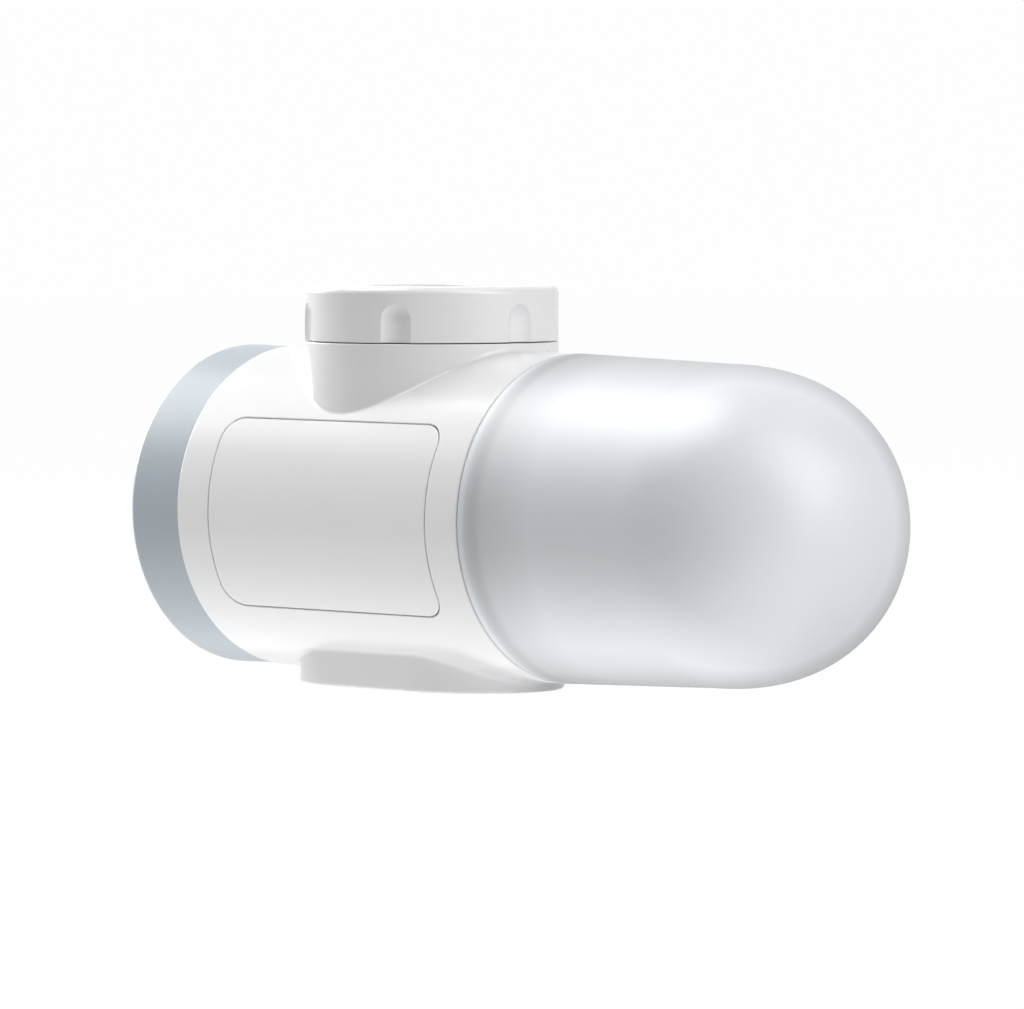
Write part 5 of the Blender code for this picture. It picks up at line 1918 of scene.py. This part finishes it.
@dataclass
class OutletFittings:
    """What the water leaves by: the spray plate, the stream nozzle and its straightener."""

    bottom: float = -30.6
    depth: float = 4.2
    spray_x: float = -11.5
    spray_radius: float = 9.8
    spray_thickness: float = 1.4
    spray_rim: float = 1.2
    spray_hole: float = 0.42
    spray_pitch: float = 2.0
    spray_reach: float = 6.4
    collar_wall: float = 0.26
    collar_height: float = 0.24
    stream_x: float = 11.5
    stream_radius: float = 7.8
    stream_wall: float = 1.4
    stream_lip: float = 1.2
    comb_pitch: float = 1.5
    comb_depth: float = 2.6
    comb_wall: float = 0.16

    def build(self) -> None:
        """Makes the pieces in both outlets."""
        self._spray()
        self._stream()
        LOG.info("outlet fittings: spray plate, nozzle and straightener")

    def _spray(self) -> None:
        """The spray plate with its real holes, each in a small raised collar."""
        part = Part("spray_plate", "housing", "blue_grey_abs", BLUE_GREY_ABS)
        shell = Shell()
        under = Level((0.0, 0.0, self.bottom))
        places = hexagon_grid(self.spray_pitch, self.spray_reach, (self.spray_x, 0.0))
        rim, inner = self.spray_radius - 0.4, self.spray_radius - self.spray_rim
        edge = section([(-3.0, 0.0), (0.0, 0.0, 0.4), (0.0, -self.depth, 0.2),
                        (-self.spray_rim, -self.depth, 0.2),
                        (-self.spray_rim, -self.spray_thickness)])[1:]
        loop, out = circle(self.spray_radius, (self.spray_x, 0.0))
        shell.skirt(loop, out, edge, under)
        holes = []
        for place in places:
            hole, away = circle(self.spray_hole, tuple(place), 16)
            holes.append(hole)
            wall = Run(np.array([[0.0, 0.0], [0.0, -self.spray_thickness]]),
                       np.array([[-1.0, 0.0], [-1.0, 0.0]]))
            shell.skirt(hole, away, [wall], under)
        centre = np.array([self.spray_x, 0.0])
        shell.fill([centre + out * rim, *holes], 0.0, under)
        shell.fill([centre + out * inner, *holes], -self.spray_thickness, under)
        part.make("spray_plate_body", shell)
        height = self.bottom - self.collar_height / 2 + 0.05 + AXIS_HEIGHT
        walled_cells().make("spray_collars", part, {
            "Cell": self.spray_hole + self.collar_wall / 2 + 0.02, "Sides": 20,
            "Wall": self.collar_wall, "Depth": self.collar_height,
        }, [(x, y, height) for x, y in places])

    def _stream(self) -> None:
        """The nozzle's ring, and the honeycomb that calms the stream."""
        nozzle = Part("stream_nozzle", "housing", "blue_grey_abs", BLUE_GREY_ABS)
        bore = self.stream_radius - self.stream_wall
        low, high = self.bottom, self.bottom + self.depth
        nozzle.turned("nozzle_ring", Axis.INLET, [
            (low, bore - self.stream_lip, 0.3), (low, self.stream_radius, 0.5),
            (high, self.stream_radius, 0.2), (high, bore, 0.2), (low + self.stream_lip, bore),
            (low + self.stream_lip, bore - self.stream_lip, 0.3),
        ], True, self.stream_x)
        comb = Part("flow_straightener", "housing", "acetal", NATURAL_ACETAL)
        foot = low + self.stream_lip + 0.3
        outer = bore - 0.3
        comb.turned("straightener_ring", Axis.INLET, [
            (foot, outer - 0.6, 0.1), (foot, outer, 0.1), (foot + self.comb_depth, outer, 0.1),
            (foot + self.comb_depth, outer - 0.6, 0.1),
        ], True, self.stream_x)
        cell = self.comb_pitch / math.sqrt(3.0)
        places = hexagon_grid(self.comb_pitch, outer - 0.3 - cell, (self.stream_x, 0.0))
        middle = foot + self.comb_depth / 2 + AXIS_HEIGHT
        walled_cells().make("straightener_comb", comb, {
            "Cell": cell, "Sides": 6, "Wall": self.comb_wall, "Depth": self.comb_depth - 0.2,
        }, [(x, y, middle) for x, y in places])


@dataclass
class Cartridge:
    """The cartridge that the cup covers: two ribbed caps and a pleated wrap."""

    radius: float = 20.6
    head_left: float = 38.3
    head_skirt: float = 45.7
    foot_left: float = 82.0
    foot_right: float = 89.4
    media_left: float = 42.0
    media_right: float = 85.7
    wrap_radius: float = 19.25
    wrap_bore: float = 16.6
    pleats: int = 54
    pleat_depth: float = 1.3
    ribs: int = 60
    rib: float = 0.4
    bore: float = 3.8
    stub_left: float = 30.3
    stub_radius: float = 7.0
    groove: Span = (33.3, 35.3)
    groove_radius: float = 5.3
    head_floor: float = 41.7
    foot_floor: float = 86.0
    pip: Span = (92.4, 4.6)
    spigot_seal: Triple = (34.3, 6.3, 0.7)
    mouth_seal: Triple = (37.55, 26.25, 0.75)

    def build(self) -> None:
        """Makes the caps with their ribs, the wrap and the spigot's seal."""
        head = Part("cartridge_head", "cartridge", "cartridge_plastic", PALE_POLYPROPYLENE)
        skirt = self.radius - 1.0
        head.turned("cartridge_cap", Axis.BARREL, [
            (self.stub_left, self.bore, 0.3), (self.stub_left, self.stub_radius, 0.6),
            (self.groove[0], self.stub_radius), (self.groove[0], self.groove_radius),
            (self.groove[1], self.groove_radius), (self.groove[1], self.stub_radius),
            (self.head_left, self.stub_radius, 0.4), (self.head_left, 13.0, 0.3),
            (self.head_left + 0.3, 13.4, 0.3), (self.head_left + 0.3, 17.6, 0.3),
            (self.head_left, 18.0, 0.3), (self.head_left, self.radius, 0.7),
            (self.head_skirt, self.radius, 0.3), (self.head_skirt, skirt),
            (self.head_floor, skirt), (self.head_floor, self.bore),
        ])
        foot = Part("cartridge_foot", "cartridge", "cartridge_plastic", PALE_POLYPROPYLENE)
        foot.turned("cartridge_base", Axis.BARREL, [
            (self.foot_floor, 0.0), (self.foot_floor, skirt), (self.foot_left, skirt),
            (self.foot_left, self.radius, 0.3), (self.foot_right, self.radius, 0.8),
            (self.foot_right, 14.0, 0.3), (self.foot_right - 0.3, 13.6, 0.3),
            (self.foot_right - 0.3, 9.4, 0.3), (self.foot_right, 9.0, 0.3),
            (self.foot_right, 5.0, 0.5), (*self.pip, 0.6), (self.pip[0], 0.0),
        ], False)
        for name, part, low, high in (
                ("cap_ribs", head, self.head_left + 1.0, self.head_skirt - 0.5),
                ("base_ribs", foot, self.foot_left + 0.5, self.foot_right - 1.1)):
            ring_of_ribs().make(name, part, {
                "Count": self.ribs, "Radius": self.radius, "Rib": self.rib,
                "Length": high - low, "Along": (low + high) / 2, "Height": AXIS_HEIGHT,
            })
        self._wrap()
        seal = Part("cartridge_seal", "cartridge", "rubber", NITRILE_RUBBER)
        seal.seal("spigot_seal", *self.spigot_seal)
        cup_seal = Part("cup_seal", "cup_ring", "rubber", NITRILE_RUBBER)
        cup_seal.seal("mouth_seal", *self.mouth_seal)
        LOG.info("cartridge: caps, wrap and seals")

    def _fold(self, x: Array, angle: Array) -> Array:
        """Radius of the pleated fleece, whose folds wander a little along the barrel."""
        wave = np.abs(np.sin(self.pleats / 2 * angle + 0.06 * np.sin(x * 0.4)))
        return self.wrap_radius - self.pleat_depth * (1.0 - wave ** 0.7)

    def _wrap(self) -> None:
        """The fleece, folded into rounded pleats round the carbon."""
        shell = Shell()
        turn = around(self.pleats * 16)
        along = np.linspace(self.media_left, self.media_right, 12)
        points, normals = uneven_wall(along, turn, self._fold)
        shell.strip(points, normals)
        bore = Axis.BARREL.spin(together(along, self.wrap_bore), turn)
        inward = bore * [0.0, -1.0, -1.0]
        shell.strip(bore, unit(inward))
        for row, way in ((0, -1.0), (-1, 1.0)):
            end = np.stack([points[row], bore[row]])
            shell.strip(end, np.array([way, 0.0, 0.0]))
        wrap = Part("fleece_wrap", "cartridge", "fleece", MELT_BLOWN_FLEECE)
        wrap.make("pleated_wrap", shell)


KEPT_NODES: dict[Finish, tuple[str, ...]] = {
    NATURAL_ACETAL: ("valve_spool", "valve_cover"),
    NITRILE_RUBBER: ("stem_seal", "upper_port_seal", "lower_port_seal", "spool_seal_1",
                     "spool_seal_2", "spray_seal", "stream_seal"),
    STAINLESS_STEEL: ("cover_screw_1", "cover_screw_2", "cover_screw_3", "cover_screw_4",
                      "knob_screw"), PRESSED_CARBON: ("carbon_block",),
    PALE_POLYPROPYLENE: ("core_tube",),
}


def dress_kept_nodes(nodes: dict) -> None:
    """Gives the inner CAD nodes, whose shapes are right, their finishes.

    Args:
        nodes: The frame's nodes by name.
    """
    for finish, names in KEPT_NODES.items():
        for name in names:
            slots = nodes[name].data.materials
            slots.clear()
            slots.append(finish.get())
    LOG.info("kept nodes: %d dressed", sum(len(names) for names in KEPT_NODES.values()))


# Stage


@dataclass(frozen=True)
class Lamp:
    """One soft studio lamp, aimed at the middle of the object unless told otherwise."""

    name: str
    place: Triple
    power: float
    aim: Triple = (0.03, 0.0, 0.035)
    size: Span = (0.55, 0.45)

    def build(self) -> None:
        """Hangs the lamp and turns it to its aim."""
        data = bpy.data.lights.new(self.name, "AREA")
        data.shape = "RECTANGLE"
        data.size, data.size_y = self.size
        data.energy = self.power
        lamp = add_object(self.name, data)
        lamp.location = self.place
        lamp.visible_camera = False
        way = Vector(self.aim) - Vector(self.place)
        lamp.rotation_euler = way.to_track_quat("-Z", "Y").to_euler()


@dataclass
class Studio:
    """The camera, the lamps, the pale floor and the light that comes from all round.

    The floor glows a little past white where it is seen, by as much as its matte share takes
    away, so that it meets the background without a line. It lies clearance below the object,
    which lets the strips light the underside.
    """

    aim: Triple = (0.02054, 0.0, 0.03295)
    distance: float = 1.36407
    azimuth: float = math.radians(45.706)
    elevation: float = math.radians(2.689)
    lens: float = 271.48
    around: float = 0.02
    white: float = 0.99
    floor_size: float = 6.0
    clearance: float = 0.012
    floor_hex: str = "#bcbcbc"
    floor_glow: float = 1.028
    floor_share: float = 0.96
    lamps: tuple[Lamp, ...] = (
        Lamp("left_low_softbox", (-0.797, 0.0, 0.336), 5.4),
        Lamp("left_front_softbox", (-0.536, -0.327, 0.624), 0.5),
        Lamp("left_high_softbox", (-0.328, -0.207, 0.812), 4.7),
        Lamp("right_low_softbox", (0.829, 0.214, 0.336), 2.5),
        Lamp("right_softbox", (0.684, 0.0, 0.624), 2.3),
        Lamp("right_high_softbox", (0.429, -0.107, 0.812), 0.75),
        Lamp("under_strip", (0.04, -0.03, -0.0115), 0.04, (0.04, -0.03, 1.0), (0.36, 0.06)),
        Lamp("front_strip", (0.04, -0.1, -0.0115), 0.04, (0.04, -0.1, 1.0), (0.36, 0.08)),
    )

    def build(self) -> None:
        """Sets up everything that isn't the object."""
        self._camera()
        for lamp in self.lamps:
            lamp.build()
        self._world()
        self._floor()
        bpy.context.scene.view_settings.view_transform = "Standard"

    def _camera(self) -> None:
        """The camera at the photograph's angle and distance."""
        data = bpy.data.cameras.new("camera")
        data.lens, data.sensor_width = self.lens, 36.0
        data.clip_start, data.clip_end = 0.05, 50.0
        camera = add_object("camera", data)
        back = Vector((math.sin(self.azimuth) * math.cos(self.elevation),
                       -math.cos(self.azimuth) * math.cos(self.elevation),
                       math.sin(self.elevation)))
        camera.location = Vector(self.aim) + back * self.distance
        camera.rotation_euler = (math.pi / 2 - self.elevation, 0.0, self.azimuth)
        bpy.context.scene.camera = camera

    @staticmethod
    def _seen(tree: Tree) -> Node:
        """1 for rays from the camera, from gloss or through glass, 0 for others.

        Args:
            tree: Takes the nodes.

        Returns:
            The number.
        """
        path = add_node(tree, "ShaderNodeLightPath")
        first = add_node(tree, "ShaderNodeMath", None,
                         {0: path.outputs["Is Camera Ray"], 1: path.outputs["Is Glossy Ray"]},
                         operation="MAXIMUM")
        return add_node(tree, "ShaderNodeMath", None,
                        {0: first, 1: path.outputs["Is Transmission Ray"]},
                        operation="MAXIMUM")

    def _world(self) -> None:
        """Even light from all round, which shows as plain white behind the object."""
        world = bpy.data.worlds.new("studio")
        world.use_nodes = True
        tree = world.node_tree
        tree.nodes.clear()
        strength = add_node(tree, "ShaderNodeMapRange",
                            {"To Min": self.around, "To Max": self.white},
                            {"Value": self._seen(tree)})
        light = add_node(tree, "ShaderNodeBackground", {"Color": (1.0, 1.0, 1.0, 1.0)},
                         {"Strength": strength})
        add_node(tree, "ShaderNodeOutputWorld", None, {"Surface": light})
        bpy.context.scene.world = world

    def _floor(self) -> None:
        """A pale floor that keeps the object's shadow, and is clear when seen from below."""
        half = self.floor_size / 2
        mesh = bpy.data.meshes.new("floor")
        level = -self.clearance
        mesh.from_pydata([(-half, -half, level), (half, -half, level), (half, half, level),
                          (-half, half, level)], [], [(0, 1, 2, 3)])
        made, tree = blank_material("pale_floor")
        add = partial(add_node, tree)
        matte = add("ShaderNodeBsdfDiffuse", {"Color": colour(self.floor_hex)})
        white = add("ShaderNodeEmission", {"Strength": self.floor_glow})
        share = add("ShaderNodeMath", {1: self.floor_share}, {0: self._seen(tree)},
                    operation="MULTIPLY")
        mixed = add("ShaderNodeMixShader", None, {0: share, 1: matte, 2: white})
        side = add("ShaderNodeNewGeometry")
        clear = add("ShaderNodeBsdfTransparent")
        one_way = add("ShaderNodeMixShader", None,
                      {0: side.outputs["Backfacing"], 1: mixed, 2: clear})
        add("ShaderNodeOutputMaterial", None, {"Surface": one_way})
        mesh.materials.append(made)
        floor = add_object("floor", mesh)


def main() -> None:
    """Builds the stage and each sub-assembly in order."""
    logging.basicConfig(level=logging.INFO, format="%(name)s %(message)s")
    for obj in list(bpy.data.objects):
        bpy.data.objects.remove(obj, do_unlink=True)
    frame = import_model()
    Studio().build()
    for assembly in (Housing(), CollarNut(), SelectorKnob(), FilterCup(), InletFittings(),
                     OutletFittings(), Cartridge()):
        assembly.build()
    dress_kept_nodes(frame["nodes"])


if __name__ == "__main__":
    main()
